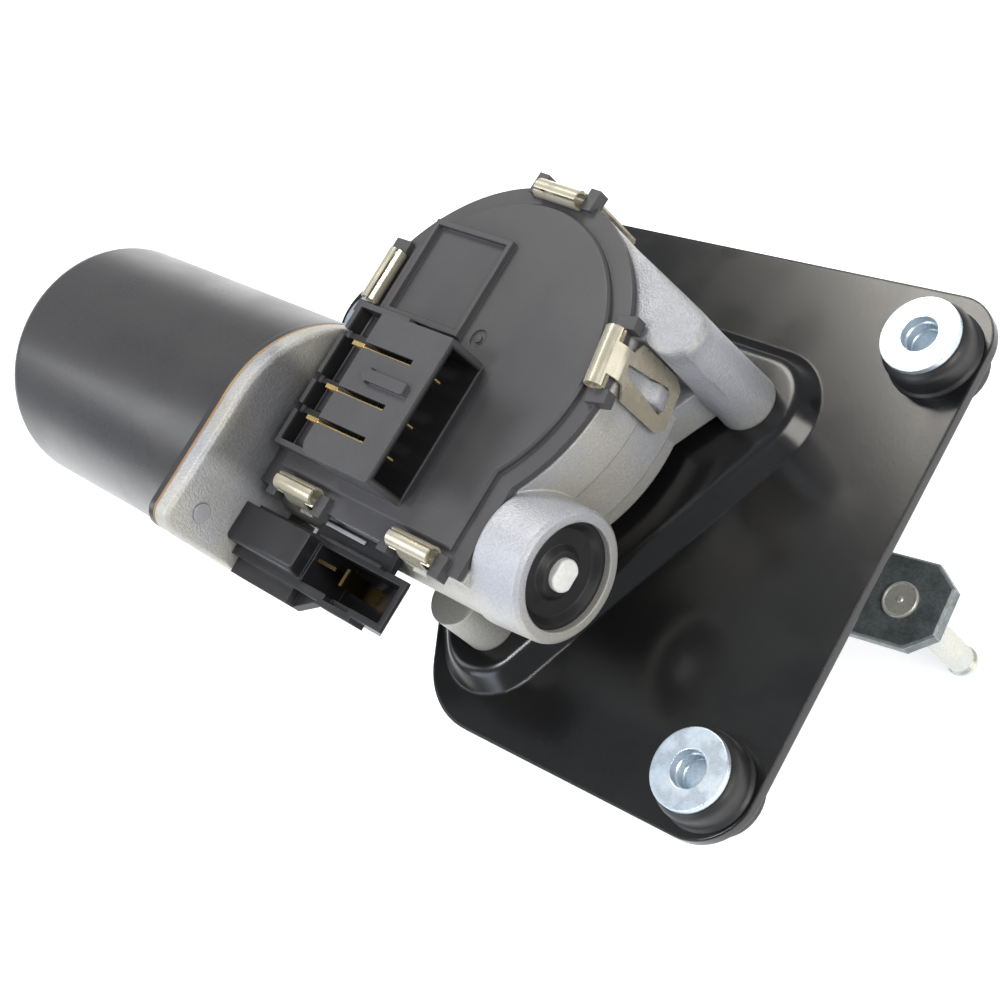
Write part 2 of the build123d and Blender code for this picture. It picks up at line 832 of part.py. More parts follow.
def clip(x, y, angle, end, bar):
    """A sprung sheet-metal clip: a roll on the brim and a strap with a hole for the hook."""
    along = (math.sin(math.radians(angle)), -math.cos(math.radians(angle)), 0)
    out = (math.cos(math.radians(angle)), math.sin(math.radians(angle)), 0)
    start = tuple(c - a * clip_length / 2 for c, a in zip((x, y, 0), along))
    side_view = Plane(origin=start, x_dir=out, z_dir=along)
    roll_height = brim_top + barrel_roll
    strap_out = clip_stand_off + clip_metal
    with BuildPart() as made:
        with BuildSketch(side_view):
            with Locations((-clip_inset, roll_height)):
                Circle(barrel_roll)
                Circle(barrel_roll - clip_metal, mode=Mode.SUBTRACT)
            with Locations((-clip_inset, roll_height)):
                Rectangle(
                    2 * barrel_roll, barrel_slit, align=(Align.MIN, Align.MIN), mode=Mode.SUBTRACT
                )
            Polygon(
                (-clip_inset, roll_height + barrel_roll),
                (strap_out - strap_bend, roll_height + barrel_roll),
                (strap_out, roll_height + barrel_roll - strap_bend),
                (strap_out, end),
                (strap_out - clip_metal, end),
                (strap_out - clip_metal, roll_height + barrel_roll - strap_bend),
                (strap_out - strap_bend - clip_bend_ease, roll_height + barrel_roll - clip_metal),
                (-clip_inset, roll_height + barrel_roll - clip_metal),
                align=None,
            )
        extrude(amount=clip_length)
        face_plane = Plane(origin=(x, y, 0), x_dir=along, z_dir=out)
        hole_low = end + bar
        hole_high = cover_base - lug_gap
        shoulder_height = hole_low + (hole_high - hole_low) / 3
        with BuildSketch(face_plane):
            Polygon(
                (-strap_hole_low / 2, -hole_low),
                (strap_hole_low / 2, -hole_low),
                (strap_hole_low / 2, -shoulder_height),
                (strap_hole_high / 2, -hole_high),
                (-strap_hole_high / 2, -hole_high),
                (-strap_hole_low / 2, -shoulder_height),
                align=None,
            )
            for side in (1, -1):
                Polygon(
                    (side * clip_length / 2, -end),
                    (side * (clip_length / 2 - strap_corner), -end),
                    (side * clip_length / 2, -end - strap_corner),
                    align=None,
                )
        extrude(amount=2 * strap_out, both=True, mode=Mode.SUBTRACT)
    return made.part


with BuildPart() as cover_clips:
    for spot in clip_spots:
        add(clip(*spot, long_strap_end, long_strap_bar))
    for spot in worm_clip_spots:
        add(clip(*spot, short_strap_end, short_strap_bar))
save(cover_clips, "cover_clips")

# Brass strips of the control socket
with BuildPart() as socket_terminals:
    for row in terminal_rows:
        block(
            terminal_left,
            terminal_tip,
            row - terminal_thickness / 2,
            row + terminal_thickness / 2,
            socket_top - socket_depth,
            socket_top - 1.2,
        )
        block(
            terminal_left,
            terminal_left + 3.0,
            row - terminal_thickness / 2,
            row + terminal_thickness / 2,
            cover_top,
            socket_top - socket_depth,
        )
        block(
            terminal_tip,
            socket_right - 2.5,
            row - terminal_thickness / 2,
            row + terminal_thickness / 2,
            socket_top - socket_depth,
            socket_top - 3.4,
        )
save(socket_terminals, "socket_terminals")

# Feed connector: a block beside the flange, a belly under it and a two-way socket that opens
# upwards, with an underside that slopes up to its rim
feed_left = case_left + 0.2
feed_near = -centre_distance - barrel_radius
feed_low = feed_near - feed_block_reach
feed_inner = feed_near - feed_socket_gap
feed_bump_low = feed_near - feed_socket_reach
feed_socket_low = feed_bump_low + feed_bump_reach
feed_end_view = Plane(origin=(feed_left, 0, 0), x_dir=(0, 1, 0), z_dir=(1, 0, 0))
with BuildPart() as feed_connector:
    block(
        feed_left,
        feed_block_right,
        feed_low,
        feed_near - feed_block_gap,
        feed_block_bottom,
        feed_block_top,
    )
    fillet(feed_connector.faces().sort_by(Axis.Z)[-1].edges().sort_by(Axis.Y)[0], 1.5)
    fillet(feed_connector.faces().sort_by(Axis.Z)[-1].edges().sort_by(Axis.X)[-1], 0.6)
    with BuildSketch(Plane(origin=(0, feed_inner, 0), x_dir=(1, 0, 0), z_dir=(0, -1, 0))):
        Polygon(
            (feed_left, feed_socket_bottom),
            (feed_slope_end, feed_socket_bottom),
            (feed_socket_right, feed_socket_top - feed_rim),
            (feed_socket_right, feed_socket_top),
            (feed_left, feed_socket_top),
            align=None,
        )
    extrude(amount=feed_inner - feed_socket_low)
    block(
        feed_bump_left,
        feed_bump_right,
        feed_bump_low,
        feed_low,
        feed_socket_top - 2 * feed_ledge_height,
        feed_socket_top,
    )
    # Ledge along the outer side
    block(
        feed_left,
        feed_bump_left,
        feed_low - feed_ledge_reach,
        feed_low,
        feed_socket_top - feed_ledge_height,
        feed_socket_top,
    )
    # Belly with a blunt, tapered end
    with BuildSketch(feed_end_view):
        Polygon(
            (feed_low, feed_belly_top),
            (feed_low - feed_belly_reach, feed_belly_top),
            (feed_low - feed_belly_reach, feed_belly_bottom),
            (feed_low - feed_belly_reach / 2, feed_belly_bottom - feed_belly_reach / 2),
            (feed_low, feed_belly_bottom - feed_belly_reach / 2),
            align=None,
        )
    extrude(amount=feed_belly_right - feed_left)
    with BuildSketch(Plane.XY.offset(feed_belly_bottom)):
        Polygon(
            (feed_belly_right, feed_low),
            (feed_belly_right, feed_low - feed_belly_reach),
            (feed_belly_right + feed_belly_reach, feed_low - feed_ledge_reach),
            (feed_belly_right + feed_belly_reach, feed_low),
            align=None,
        )
    extrude(amount=feed_ledge_height)
    # The socket's hollow, with a pocket for the mating plug's rib
    with BuildSketch(Plane(origin=(0, feed_inner - feed_wall, 0), x_dir=(1, 0, 0), z_dir=(0, -1, 0))):
        slope_shift = feed_wall * math.sqrt(2)
        floor_height = feed_socket_bottom + 2 * feed_wall
        wall_right = feed_socket_right - feed_wall
        slope_rise = (feed_socket_top - feed_rim - feed_socket_bottom) / (
            feed_socket_right - feed_slope_end
        )
        floor_right = feed_slope_end + (2 * feed_wall - slope_shift) / slope_rise
        wall_foot = feed_socket_bottom + slope_shift + slope_rise * (wall_right - feed_slope_end)
        Polygon(
            (feed_block_right + feed_wall / 2, floor_height),
            (floor_right, floor_height),
            (wall_right, min(wall_foot, feed_socket_top)),
            (wall_right, feed_socket_top),
            (feed_block_right + feed_wall / 2, feed_socket_top),
            align=None,
        )
    extrude(amount=feed_inner - 2 * feed_wall - feed_socket_low, mode=Mode.SUBTRACT)
    block(
        feed_bump_left + feed_wall,
        feed_bump_right - feed_wall,
        feed_bump_low + feed_wall,
        feed_low,
        feed_socket_top - feed_ledge_height,
        feed_socket_top,
        mode=Mode.SUBTRACT,
    )
    # Feet against the casting
    for foot_left in (feed_left, feed_foot_right):
        block(
            foot_left,
            foot_left + feed_foot_length,
            feed_inner - feed_wall / 2,
            feed_near,
            feed_socket_bottom + feed_blade_foot,
            feed_socket_bottom + 7,
        )
save(feed_connector, "feed_connector")

# Two brass blades in the feed socket
with BuildPart() as feed_terminals:
    block(
        feed_blade_left,
        feed_blade_left + feed_blade_width,
        feed_near - feed_blade_back,
        feed_near - feed_blade_back + feed_blade_thickness,
        feed_socket_bottom + feed_blade_foot,
        feed_socket_top - feed_blade_drop,
    )
    block(
        feed_key_left,
        feed_key_left + feed_blade_thickness,
        feed_near - feed_key_back,
        feed_near - feed_key_back + feed_key_length,
        feed_socket_bottom + feed_blade_foot,
        feed_socket_top - feed_blade_drop,
    )
save(feed_terminals, "feed_terminals")

# Mounting plate: pressed sheet with a raised platform and three bush holes
plate_corners = (
    (93.2, -66.3, 13.0),
    (87.5, 57.9, 11.0),
    (-30.0, 51.4, 25.0),
    (-93.0, 15.0, 13.0),
    (-85.0, -7.6, 13.0),
    (-58.0, -7.6, 8.0),
    (-37.0, 3.4, 8.0),
    (7.5, -70.2, 20.0),
)


def plate_shape(inset=0.0):
    """The plate's outline with rounded corners, moved inwards by an amount."""
    with BuildSketch(mode=Mode.PRIVATE) as outline:
        Polygon(*[(x, y) for x, y, r in plate_corners], align=None)
        for x, y, r in plate_corners:
            fillet(outline.vertices().sort_by_distance((x, y, 0))[0], r)
        if inset > 0:
            offset(amount=-inset, mode=Mode.REPLACE)
    return outline.sketch


def platform_outline(radius, inset):
    """The raised platform: a rounded triangle about the pillars that stays inside the plate."""
    with BuildSketch(mode=Mode.PRIVATE) as outline:
        Polygon(*pillar_points, align=None)
        offset(amount=radius, mode=Mode.REPLACE)
        add(plate_shape(inset), mode=Mode.INTERSECT)
        offset(amount=-platform_corner, mode=Mode.REPLACE)
        offset(amount=platform_corner, mode=Mode.REPLACE)
    return outline.sketch


with BuildPart() as mounting_plate:
    with BuildSketch(Plane.XY.offset(plate_top - plate_thickness)):
        add(plate_shape())
    extrude(amount=plate_thickness)
    with BuildSketch(Plane.XY.offset(plate_top)):
        add(platform_outline(platform_margin, platform_inset))
    extrude(amount=platform_rise, taper=platform_slope)
    slope_run = plate_thickness * math.tan(math.radians(platform_slope))
    wall_run = plate_thickness / math.cos(math.radians(platform_slope))
    with BuildSketch(Plane.XY.offset(plate_top - plate_thickness)):
        add(platform_outline(platform_margin + slope_run - wall_run, platform_inset - slope_run + wall_run))
    extrude(amount=platform_rise, taper=platform_slope, mode=Mode.SUBTRACT)
    rim_edges = mounting_plate.faces().filter_by(Axis.Z).sort_by(Axis.Z)[-1].outer_wire().edges()
    fillet(rim_edges, platform_crest)
    with BuildSketch(Plane.XY.offset(plate_top - plate_thickness)):
        Circle(neck_radius + plate_shaft_clearance)
        with Locations(*pillar_points):
            Circle(pillar_screw_radius + screw_clearance)
        with Locations(*bush_points):
            Circle(bush_hole_radius)
    extrude(amount=plate_thickness + platform_rise, mode=Mode.SUBTRACT)
save(mounting_plate, "mounting_plate")

# Three screws from below the platform into the pillars
with BuildPart() as plate_screws:
    with BuildSketch(Plane.XY.offset(platform_under)):
        with Locations(*pillar_points):
            Circle(pillar_screw_radius)
    extrude(amount=pillar_hole_top - 1.5 - platform_under)
    with BuildSketch(Plane.XY.offset(platform_under)):
        with Locations(*pillar_points):
            RegularPolygon(nut_pocket_radius, 6, major_radius=True)
    extrude(amount=-nut_pocket_depth)
save(plate_screws, "plate_screws")

# Rubber grommets and steel sleeves in the plate's three holes
rubber_top = sleeve_length - sleeve_flange_thickness
with BuildPart() as bush_rubbers:
    for x, y in bush_points:
        side_view = Plane(origin=(x, y, 0), x_dir=(1, 0, 0), z_dir=(0, -1, 0))
        with BuildSketch(side_view) as rubber_profile:
            Polygon(
                (sleeve_radius, rubber_foot),
                (rubber_under, rubber_foot),
                (rubber_under, plate_top - plate_thickness),
                (bush_hole_radius, plate_top - plate_thickness),
                (bush_hole_radius, plate_top),
                (rubber_radius + rubber_lip, plate_top),
                (rubber_radius + rubber_lip, plate_top + rubber_lip),
                (rubber_radius, plate_top + 2 * rubber_lip),
                (rubber_radius, rubber_top),
                (sleeve_radius, rubber_top),
                align=None,
            )
            fillet(
                rubber_profile.vertices().sort_by_distance((rubber_radius, rubber_top, 0))[0],
                rubber_round,
            )
            fillet(
                rubber_profile.vertices().sort_by_distance((rubber_under, rubber_foot, 0))[0],
                rubber_round / 2,
            )
        revolve(axis=Axis((x, y, 0), (0, 0, 1)))
save(bush_rubbers, "bush_rubbers")

with BuildPart() as bush_sleeves:
    for x, y in bush_points:
        with BuildSketch(Plane(origin=(x, y, 0), x_dir=(1, 0, 0), z_dir=(0, -1, 0))):
            Polygon(
                (sleeve_bore, 0),
                (sleeve_radius, 0),
                (sleeve_radius, rubber_top),
                (sleeve_flange, rubber_top),
                (sleeve_flange, sleeve_length),
                (sleeve_mouth, sleeve_length),
                (sleeve_mouth, sleeve_length - sleeve_step_depth),
                (sleeve_mouth - sleeve_step, sleeve_length - sleeve_step_depth - sleeve_step),
                (sleeve_mouth - sleeve_step, sleeve_length - 2 * sleeve_step_depth - sleeve_step),
                (sleeve_bore, sleeve_length - 2 * sleeve_step_depth - 2 * sleeve_step),
                align=None,
            )
        revolve(axis=Axis((x, y, 0), (0, 0, 1)))
save(bush_sleeves, "bush_sleeves")

# Output shaft with a shoulder for the crank arm and a threaded end
hub_bottom = case_floor + hub_gap
hub_top = wheel_top + hub_rise
hub_radius = output_radius + hub_wall
arm_seat_radius = output_radius - arm_seat_step
thread_radius = output_radius - thread_step
shaft_end = arm_bottom - nut_height - shaft_end_rise
with BuildPart() as output_shaft:
    upright_ring(arm_top, hub_top + 2.4, output_radius)
    chamfer(output_shaft.faces().sort_by(Axis.Z)[-1].edges(), 0.6)
    upright_ring(arm_bottom, arm_top, arm_seat_radius)
    upright_ring(shaft_end, arm_bottom, thread_radius)
    chamfer(output_shaft.faces().sort_by(Axis.Z)[0].edges(), 0.7)
    upright_ring(hub_top, hub_top + 1.1, output_radius + 1, output_radius - 0.7, mode=Mode.SUBTRACT)
save(output_shaft, "output_shaft")

with BuildPart() as shaft_clip:
    with BuildSketch(Plane.XY.offset(hub_top)):
        Circle(output_radius + 2.2)
        Circle(output_radius - 0.7, mode=Mode.SUBTRACT)
        Rectangle(2 * output_radius, 3.6, align=(Align.MIN, Align.CENTER), mode=Mode.SUBTRACT)
    extrude(amount=1.1)
save(shaft_clip, "shaft_clip")

with BuildPart() as thrust_washer:
    upright_ring(case_floor + 0.1, hub_bottom, hub_radius, output_radius)
save(thrust_washer, "thrust_washer")

with BuildPart() as wheel_hub:
    upright_ring(hub_bottom, hub_top, hub_radius, output_radius)
save(wheel_hub, "wheel_hub")


def involute(angle):
    """The involute of an angle in radians."""
    return math.tan(angle) - angle


def tooth_half_angle(radius):
    """Half the angle that a wheel tooth takes up at a radius, in radians."""
    at_pitch = math.pi / (2 * wheel_teeth) - tooth_backlash / (2 * wheel_pitch_radius)
    at_radius = math.acos(min(1.0, wheel_base_radius / radius))
    return at_pitch + involute(math.radians(pressure_angle)) - involute(at_radius)


def tooth_outline(height, turn):
    """One wheel tooth's outline on a level plane, turned about the wheel's axis."""
    radii = [wheel_base_radius + k * (wheel_tip_radius - wheel_base_radius) / 3 for k in range(4)]
    inner = wheel_root_radius - 0.4
    corners = [(inner, tooth_half_angle(wheel_base_radius))]
    corners += [(r, tooth_half_angle(r)) for r in radii]
    side = [(r * math.cos(turn + a), r * math.sin(turn + a)) for r, a in corners]
    other = [(r * math.cos(turn - a), r * math.sin(turn - a)) for r, a in reversed(corners)]
    with BuildSketch(Plane.XY.offset(height)) as outline:
        Polygon(*side, *other, align=None)
    return outline.sketch


# Worm wheel: helical teeth, a thin web and holes in it
tooth_turn = math.tan(math.radians(lead_angle)) * wheel_face / 2 / wheel_pitch_radius
with BuildPart() as one_tooth:
    loft([tooth_outline(wheel_bottom, -tooth_turn), tooth_outline(wheel_top, tooth_turn)])

with BuildPart() as worm_wheel:
    upright_ring(wheel_bottom, wheel_top, wheel_root_radius, hub_radius)
    upright_ring(wheel_bottom, motor_height - 1.4, wheel_root_radius - 3, hub_radius + 3, mode=Mode.SUBTRACT)
    with BuildSketch(Plane.XY.offset(wheel_bottom)):
        with PolarLocations((wheel_root_radius + hub_radius) / 2, 6):
            Circle(wheel_pocket_radius)
    extrude(amount=wheel_face - 2.4, mode=Mode.SUBTRACT)
    with PolarLocations(0, wheel_teeth):
        add(one_tooth.part)
save(worm_wheel, "worm_wheel")

# Contact disc for the park switch, with a notch in its track
with BuildPart() as park_disc:
    with BuildSketch(Plane.XY.offset(wheel_top)):
        Circle(wheel_root_radius - 2)
        Circle(hub_radius + 1, mode=Mode.SUBTRACT)
        with Locations((wheel_root_radius - 6, 0)):
            Rectangle(5.0, 16.0, mode=Mode.SUBTRACT)
    extrude(amount=cam_thickness)
save(park_disc, "park_disc")

# Three spring fingers that hang from the cover and wipe the contact disc
with BuildPart() as park_contacts:
    for row in (-12.0, -16.0, -20.0):
        block(-4.0, 14.0, row - 1.2, row + 1.2, cover_top - cover_wall - 0.5, cover_top - cover_wall)
        block(13.5, 14.0, row - 1.2, row + 1.2, wheel_top + 1.4, cover_top - cover_wall)
        block(12.0, 14.0, row - 1.2, row + 1.2, wheel_top + 0.9, wheel_top + 1.4)
save(park_contacts, "park_contacts")

# Crank arm: a flat bar with a slight bend, a round hub and chamfered outer corners
with BuildPart() as crank_arm:
    bar_out = (math.cos(math.radians(arm_bar_angle)), math.sin(math.radians(arm_bar_angle)))
    bar_start = tuple(p - arm_bar_length * c for p, c in zip(pin_point, bar_out))
    bar_plane = Plane(origin=(*pin_point, arm_bottom), x_dir=(*bar_out, 0), z_dir=(0, 0, 1))
    with BuildSketch(bar_plane):
        Polygon(
            (-arm_bar_length, -arm_width / 2),
            (arm_end - arm_chamfer_long, -arm_width / 2),
            (arm_end, -arm_width / 2 + arm_chamfer_wide),
            (arm_end, arm_width / 2 - arm_chamfer_wide),
            (arm_end - arm_chamfer_long, arm_width / 2),
            (-arm_bar_length, arm_width / 2),
            align=None,
        )
    extrude(amount=arm_thickness)
    with BuildSketch(Plane.XY.offset(arm_bottom)):
        Circle(arm_hub_radius)
        with Locations(bar_start):
            Circle(arm_width / 2)
        make_hull()
    extrude(amount=arm_thickness)
    chamfer(crank_arm.edges().group_by(Axis.Z)[-1], 0.5)
    with BuildSketch(Plane.XY.offset(arm_bottom)):
        Circle(arm_seat_radius)
        with Locations(pin_point):
            Circle(pin_radius)
    extrude(amount=arm_thickness, mode=Mode.SUBTRACT)
save(crank_arm, "crank_arm")

with BuildPart() as crank_nut:
    with BuildSketch(Plane.XY.offset(arm_bottom - nut_height)):
        RegularPolygon(nut_across_flats / 2, 6, major_radius=False)
        Circle(thread_radius, mode=Mode.SUBTRACT)
    extrude(amount=nut_height)
save(crank_nut, "crank_nut")

# Crank pin, riveted into the arm
with BuildPart() as crank_pin:
    with BuildSketch(Plane(origin=(*pin_point, 0), x_dir=(1, 0, 0), z_dir=(0, -1, 0))):
        Polygon(
            (0, arm_top + 0.6),
            (0.7, arm_top + 1.2),
            (rivet_radius - 0.6, arm_top + 1.2),
            (rivet_radius, arm_top + 0.6),
            (rivet_radius, arm_top),
            (pin_radius, arm_top),
            (pin_radius, arm_bottom),
            (pin_collar_radius, arm_bottom),
            (pin_collar_radius, arm_bottom - 1.0),
            (pin_radius, arm_bottom - pin_collar_length),
            (pin_radius, pin_tip + 5.0),
            (pin_radius - 0.5, pin_tip + 4.5),
            (pin_radius - 0.5, pin_tip + 3.5),
            (pin_radius, pin_tip + 3.0),
            (pin_radius, pin_tip + 1.2),
            (pin_radius - 1.2, pin_tip),
            (0, pin_tip),
            align=None,
        )
    revolve(axis=Axis((*pin_point, 0), (0, 0, 1)))
save(crank_pin, "crank_pin")

# Armature shaft with the worm cut on it
shaft_rear = rear_bush_start + shaft_rear_rise
shaft_front = nose_bush_end + shaft_nose_rise
ball_radius = shaft_ball_radius
ball_centre = plug_seat - 0.05 - ball_radius
worm_half = worm_length / 2
thread_slope = math.tan(math.radians(pressure_angle)) / math.cos(math.radians(lead_angle))
thread_root = worm_root_radius - thread_sink
worm_turns = math.ceil(worm_half / lead) + 1
half_root = lead / 4 + (worm_pitch_radius - thread_root) * thread_slope
half_tip = lead / 4 - (worm_tip_radius - worm_pitch_radius) * thread_slope
with BuildPart() as worm_thread:
    with BuildLine() as path:
        Helix(
            pitch=lead,
            height=2 * worm_turns * lead,
            radius=worm_pitch_radius,
            center=(0, 0, -worm_turns * lead),
        )
    with BuildSketch(Plane.XZ):
        Polygon(
            (thread_root, -worm_turns * lead - half_root),
            (worm_tip_radius, -worm_turns * lead - half_tip),
            (worm_tip_radius, -worm_turns * lead + half_tip),
            (thread_root, -worm_turns * lead + half_root),
            align=None,
        )
    sweep(path=path.line, is_frenet=True)
    with BuildSketch(Plane.XZ):
        Polygon(
            (0, -worm_half),
            (worm_root_radius, -worm_half),
            (worm_tip_radius + 1, -worm_half + 3),
            (worm_tip_radius + 1, worm_half - 3),
            (worm_root_radius, worm_half),
            (0, worm_half),
            align=None,
        )
    revolve(axis=Axis.Z, mode=Mode.INTERSECT)

with BuildPart() as armature_shaft:
    with BuildSketch(motor_side_view):
        Polygon(
            (shaft_rear, 0),
            (shaft_rear, shaft_radius - 0.6),
            (shaft_rear + 0.6, shaft_radius),
            (-worm_half - 8, shaft_radius),
            (-worm_half - 6, worm_root_radius),
            (worm_half + 6, worm_root_radius),
            (worm_half + 6.5, nose_radius),
            (shaft_front, nose_radius),
            (shaft_front, 0),
            align=None,
        )
    revolve(axis=motor_axis)
    add(worm_thread.part.moved(motor_end_view.location))
    motor_ring(ball_centre - ball_radius, shaft_front, ball_radius + 0.05, mode=Mode.SUBTRACT)
save(armature_shaft, "armature_shaft")

with BuildPart() as thrust_ball:
    with Locations((ball_centre, -centre_distance, motor_height)):
        Sphere(ball_radius)
save(thrust_ball, "thrust_ball")

# Slotted armature stack with its windings and commutator
stack_start = stack_end - stack_length
with BuildPart() as armature_stack:
    with BuildSketch(motor_end_view.offset(stack_start)):
        Circle(stack_radius)
        Circle(shaft_radius, mode=Mode.SUBTRACT)
        with PolarLocations(stack_radius, stack_slots):
            Rectangle(4.0, slot_mouth, mode=Mode.SUBTRACT)
        with PolarLocations(stack_radius - slot_bridge, stack_slots):
            Rectangle(slot_depth, slot_width, align=(Align.MAX, Align.CENTER), mode=Mode.SUBTRACT)
    extrude(amount=stack_length)
save(armature_stack, "armature_stack")

winding_inner = stack_radius - slot_bridge - slot_depth
with BuildPart() as armature_windings:
    with BuildSketch(motor_side_view):
        for start in (stack_start - winding_reach, stack_end):
            with Locations((start, winding_inner)):
                Rectangle(winding_reach, slot_depth - 1, align=(Align.MIN, Align.MIN))
    revolve(axis=motor_axis)
    fillet(armature_windings.edges().filter_by(GeomType.CIRCLE).group_by(Axis.X)[-1], winding_round)
    fillet(armature_windings.edges().filter_by(GeomType.CIRCLE).group_by(Axis.X)[0], winding_round)
    with BuildSketch(motor_end_view.offset(stack_start)):
        with PolarLocations(stack_radius - 2.0, stack_slots):
            Rectangle(slot_depth - 0.4, slot_width - 0.2, align=(Align.MAX, Align.CENTER))
    extrude(amount=stack_length)
save(armature_windings, "armature_windings")

commutator_start = stack_end + winding_reach - commutator_lap
commutator_end = commutator_start + commutator_length
with BuildPart() as commutator:
    motor_ring(stack_end, commutator_end, commutator_radius, shaft_radius)
    with BuildSketch(motor_end_view.offset(commutator_start)):
        with PolarLocations(commutator_radius, commutator_bars):
            Rectangle(1.4, 0.5)
    extrude(amount=commutator_length, mode=Mode.SUBTRACT)
save(commutator, "commutator")

# Brush plate with its two boxes, the brushes and their springs
brush_plate_start = flange_back - gasket_thickness - brush_plate_lap
brush_height = 5.0
brush_long = 7.0
with BuildPart() as brush_holder:
    motor_ring(brush_plate_start, flange_back + brush_recess, can_inner_radius - 1.2, commutator_radius + 2)
    for side in (1, -1):
        with BuildSketch(motor_end_view.offset(brush_plate_start - brush_long - 2)):
            with Locations((side * (commutator_radius + 9.5), 0)):
                Rectangle(brush_box_length, brush_height + 3)
                Rectangle(brush_box_length, brush_height + 0.1, mode=Mode.SUBTRACT)
        extrude(amount=brush_long + 2)
save(brush_holder, "brush_holder")

with BuildPart() as carbon_brushes:
    for side in (1, -1):
        with BuildSketch(motor_end_view.offset(brush_plate_start - brush_long - 1)):
            with Locations((side * (commutator_radius + 0.3 + brush_length / 2), 0)):
                Rectangle(brush_length, brush_height)
        extrude(amount=brush_long)
save(carbon_brushes, "carbon_brushes")

with BuildPart() as brush_springs:
    for side in (1, -1):
        with BuildSketch(motor_end_view.offset(brush_plate_start - brush_long)):
            with Locations((side * (commutator_radius + 0.3 + brush_length + 3.0), 0)):
                Rectangle(6.0, 3.6)
                Rectangle(5.0, 2.6, mode=Mode.SUBTRACT)
        extrude(amount=brush_long - 2)
save(brush_springs, "brush_springs")
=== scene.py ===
import json
import math

import bmesh
import bpy
from mathutils import Matrix, Vector

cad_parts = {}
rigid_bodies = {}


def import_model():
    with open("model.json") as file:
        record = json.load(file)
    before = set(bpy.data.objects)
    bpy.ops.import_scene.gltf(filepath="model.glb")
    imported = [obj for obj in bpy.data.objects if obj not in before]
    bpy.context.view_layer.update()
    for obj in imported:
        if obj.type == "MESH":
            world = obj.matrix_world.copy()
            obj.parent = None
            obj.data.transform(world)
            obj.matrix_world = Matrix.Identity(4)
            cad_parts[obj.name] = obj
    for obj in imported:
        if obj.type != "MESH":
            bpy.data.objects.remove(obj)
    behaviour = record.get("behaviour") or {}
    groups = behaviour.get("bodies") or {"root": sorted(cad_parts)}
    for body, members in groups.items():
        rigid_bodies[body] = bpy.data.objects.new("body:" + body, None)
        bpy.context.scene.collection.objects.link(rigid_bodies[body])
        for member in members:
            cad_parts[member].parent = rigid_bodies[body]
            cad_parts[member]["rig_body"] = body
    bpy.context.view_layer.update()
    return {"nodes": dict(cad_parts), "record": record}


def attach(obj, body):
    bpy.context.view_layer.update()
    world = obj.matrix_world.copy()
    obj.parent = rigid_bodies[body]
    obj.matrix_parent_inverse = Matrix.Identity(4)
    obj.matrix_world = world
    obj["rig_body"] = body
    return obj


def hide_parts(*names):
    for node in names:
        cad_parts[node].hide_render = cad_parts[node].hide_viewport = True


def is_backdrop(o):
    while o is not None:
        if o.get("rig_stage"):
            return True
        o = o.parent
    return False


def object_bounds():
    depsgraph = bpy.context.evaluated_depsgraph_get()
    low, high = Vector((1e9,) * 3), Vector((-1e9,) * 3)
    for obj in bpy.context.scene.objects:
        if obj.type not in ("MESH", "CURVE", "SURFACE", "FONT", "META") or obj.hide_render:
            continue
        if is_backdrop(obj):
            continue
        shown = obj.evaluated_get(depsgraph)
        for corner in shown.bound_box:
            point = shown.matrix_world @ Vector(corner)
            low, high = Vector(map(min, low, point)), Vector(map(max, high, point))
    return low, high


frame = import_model()
nodes = frame["nodes"]
record = frame["record"]
scene = bpy.context.scene

# ---------------------------------------------------------------- sizes used throughout

MM = 0.001
# Edges sharper than this stay crisp, in degrees
CRISP = 28.0
CRISP_TURNED = 24.0
# Points nearer than this are one, in metres
WELD = 0.000003
BUSH_PLACES = [
    Vector((*mount["pos_m"][:2], 0.0))
    for mount in record["mounts"]
    if mount["name"].startswith("bush_")
]

# ---------------------------------------------------------------- camera and studio

LENS = 68.02
SENSOR = 36.0
NEAREST = 0.01
FARTHEST = 20.0
CAMERA_PLACE = (0.29250, -0.07235, 0.31911)
CAMERA_RIGHT = (0.6574, 0.5122, -0.5527)
CAMERA_UP = (-0.2988, 0.8505, 0.4328)
STUDIO_COLOUR = (0.86, 0.92, 1.0, 1.0)
STUDIO_STRENGTH = 0.40
WARM = (1.0, 0.96, 0.88)
WARM_SOFT = (1.0, 0.96, 0.90)
BLUISH = (0.82, 0.88, 1.0)
NEAR_WHITE = (0.97, 0.98, 1.0)
WHITE = (1.0, 1.0, 1.0)
MIDDLE = (0.0, 0.0, 0.0)
# Name, place, target, width, height, watts and colour. The overhead light is mirrored in the
# plate's far right corner, the can light shines along the top of the can, and the small edge
# light draws a bright line along the platform's rounded edge.
LIGHTS = (
    ("overhead", (-0.50, 0.60, 0.95), MIDDLE, 0.50, 0.42, 7.5, WARM),
    ("front", (1.05, 0.10, 0.62), MIDDLE, 0.6, 0.6, 8.6, WARM_SOFT),
    ("left", (-0.20, -1.05, 0.45), MIDDLE, 0.8, 0.5, 4.6, BLUISH),
    ("can", (-0.76, -0.42, 0.66), (-0.09, -0.03, 0.04), 0.35, 0.55, 1.9, NEAR_WHITE),
    ("edge", (-0.19, -0.36, 1.10), MIDDLE, 0.14, 0.26, 5.0, WHITE),
)

camera_data = bpy.data.cameras.new("camera")
camera_data.lens = LENS
camera_data.sensor_width = SENSOR
camera_data.clip_start = NEAREST
camera_data.clip_end = FARTHEST
camera = bpy.data.objects.new("camera", camera_data)
scene.collection.objects.link(camera)
right = Vector(CAMERA_RIGHT).normalized()
up = Vector(CAMERA_UP).normalized()
back = right.cross(up).normalized()
up = back.cross(right)
turned_to_object = Matrix((right, up, back)).transposed().to_4x4()
camera.matrix_world = Matrix.Translation(CAMERA_PLACE) @ turned_to_object
scene.camera = camera
scene.view_settings.view_transform = "Standard"

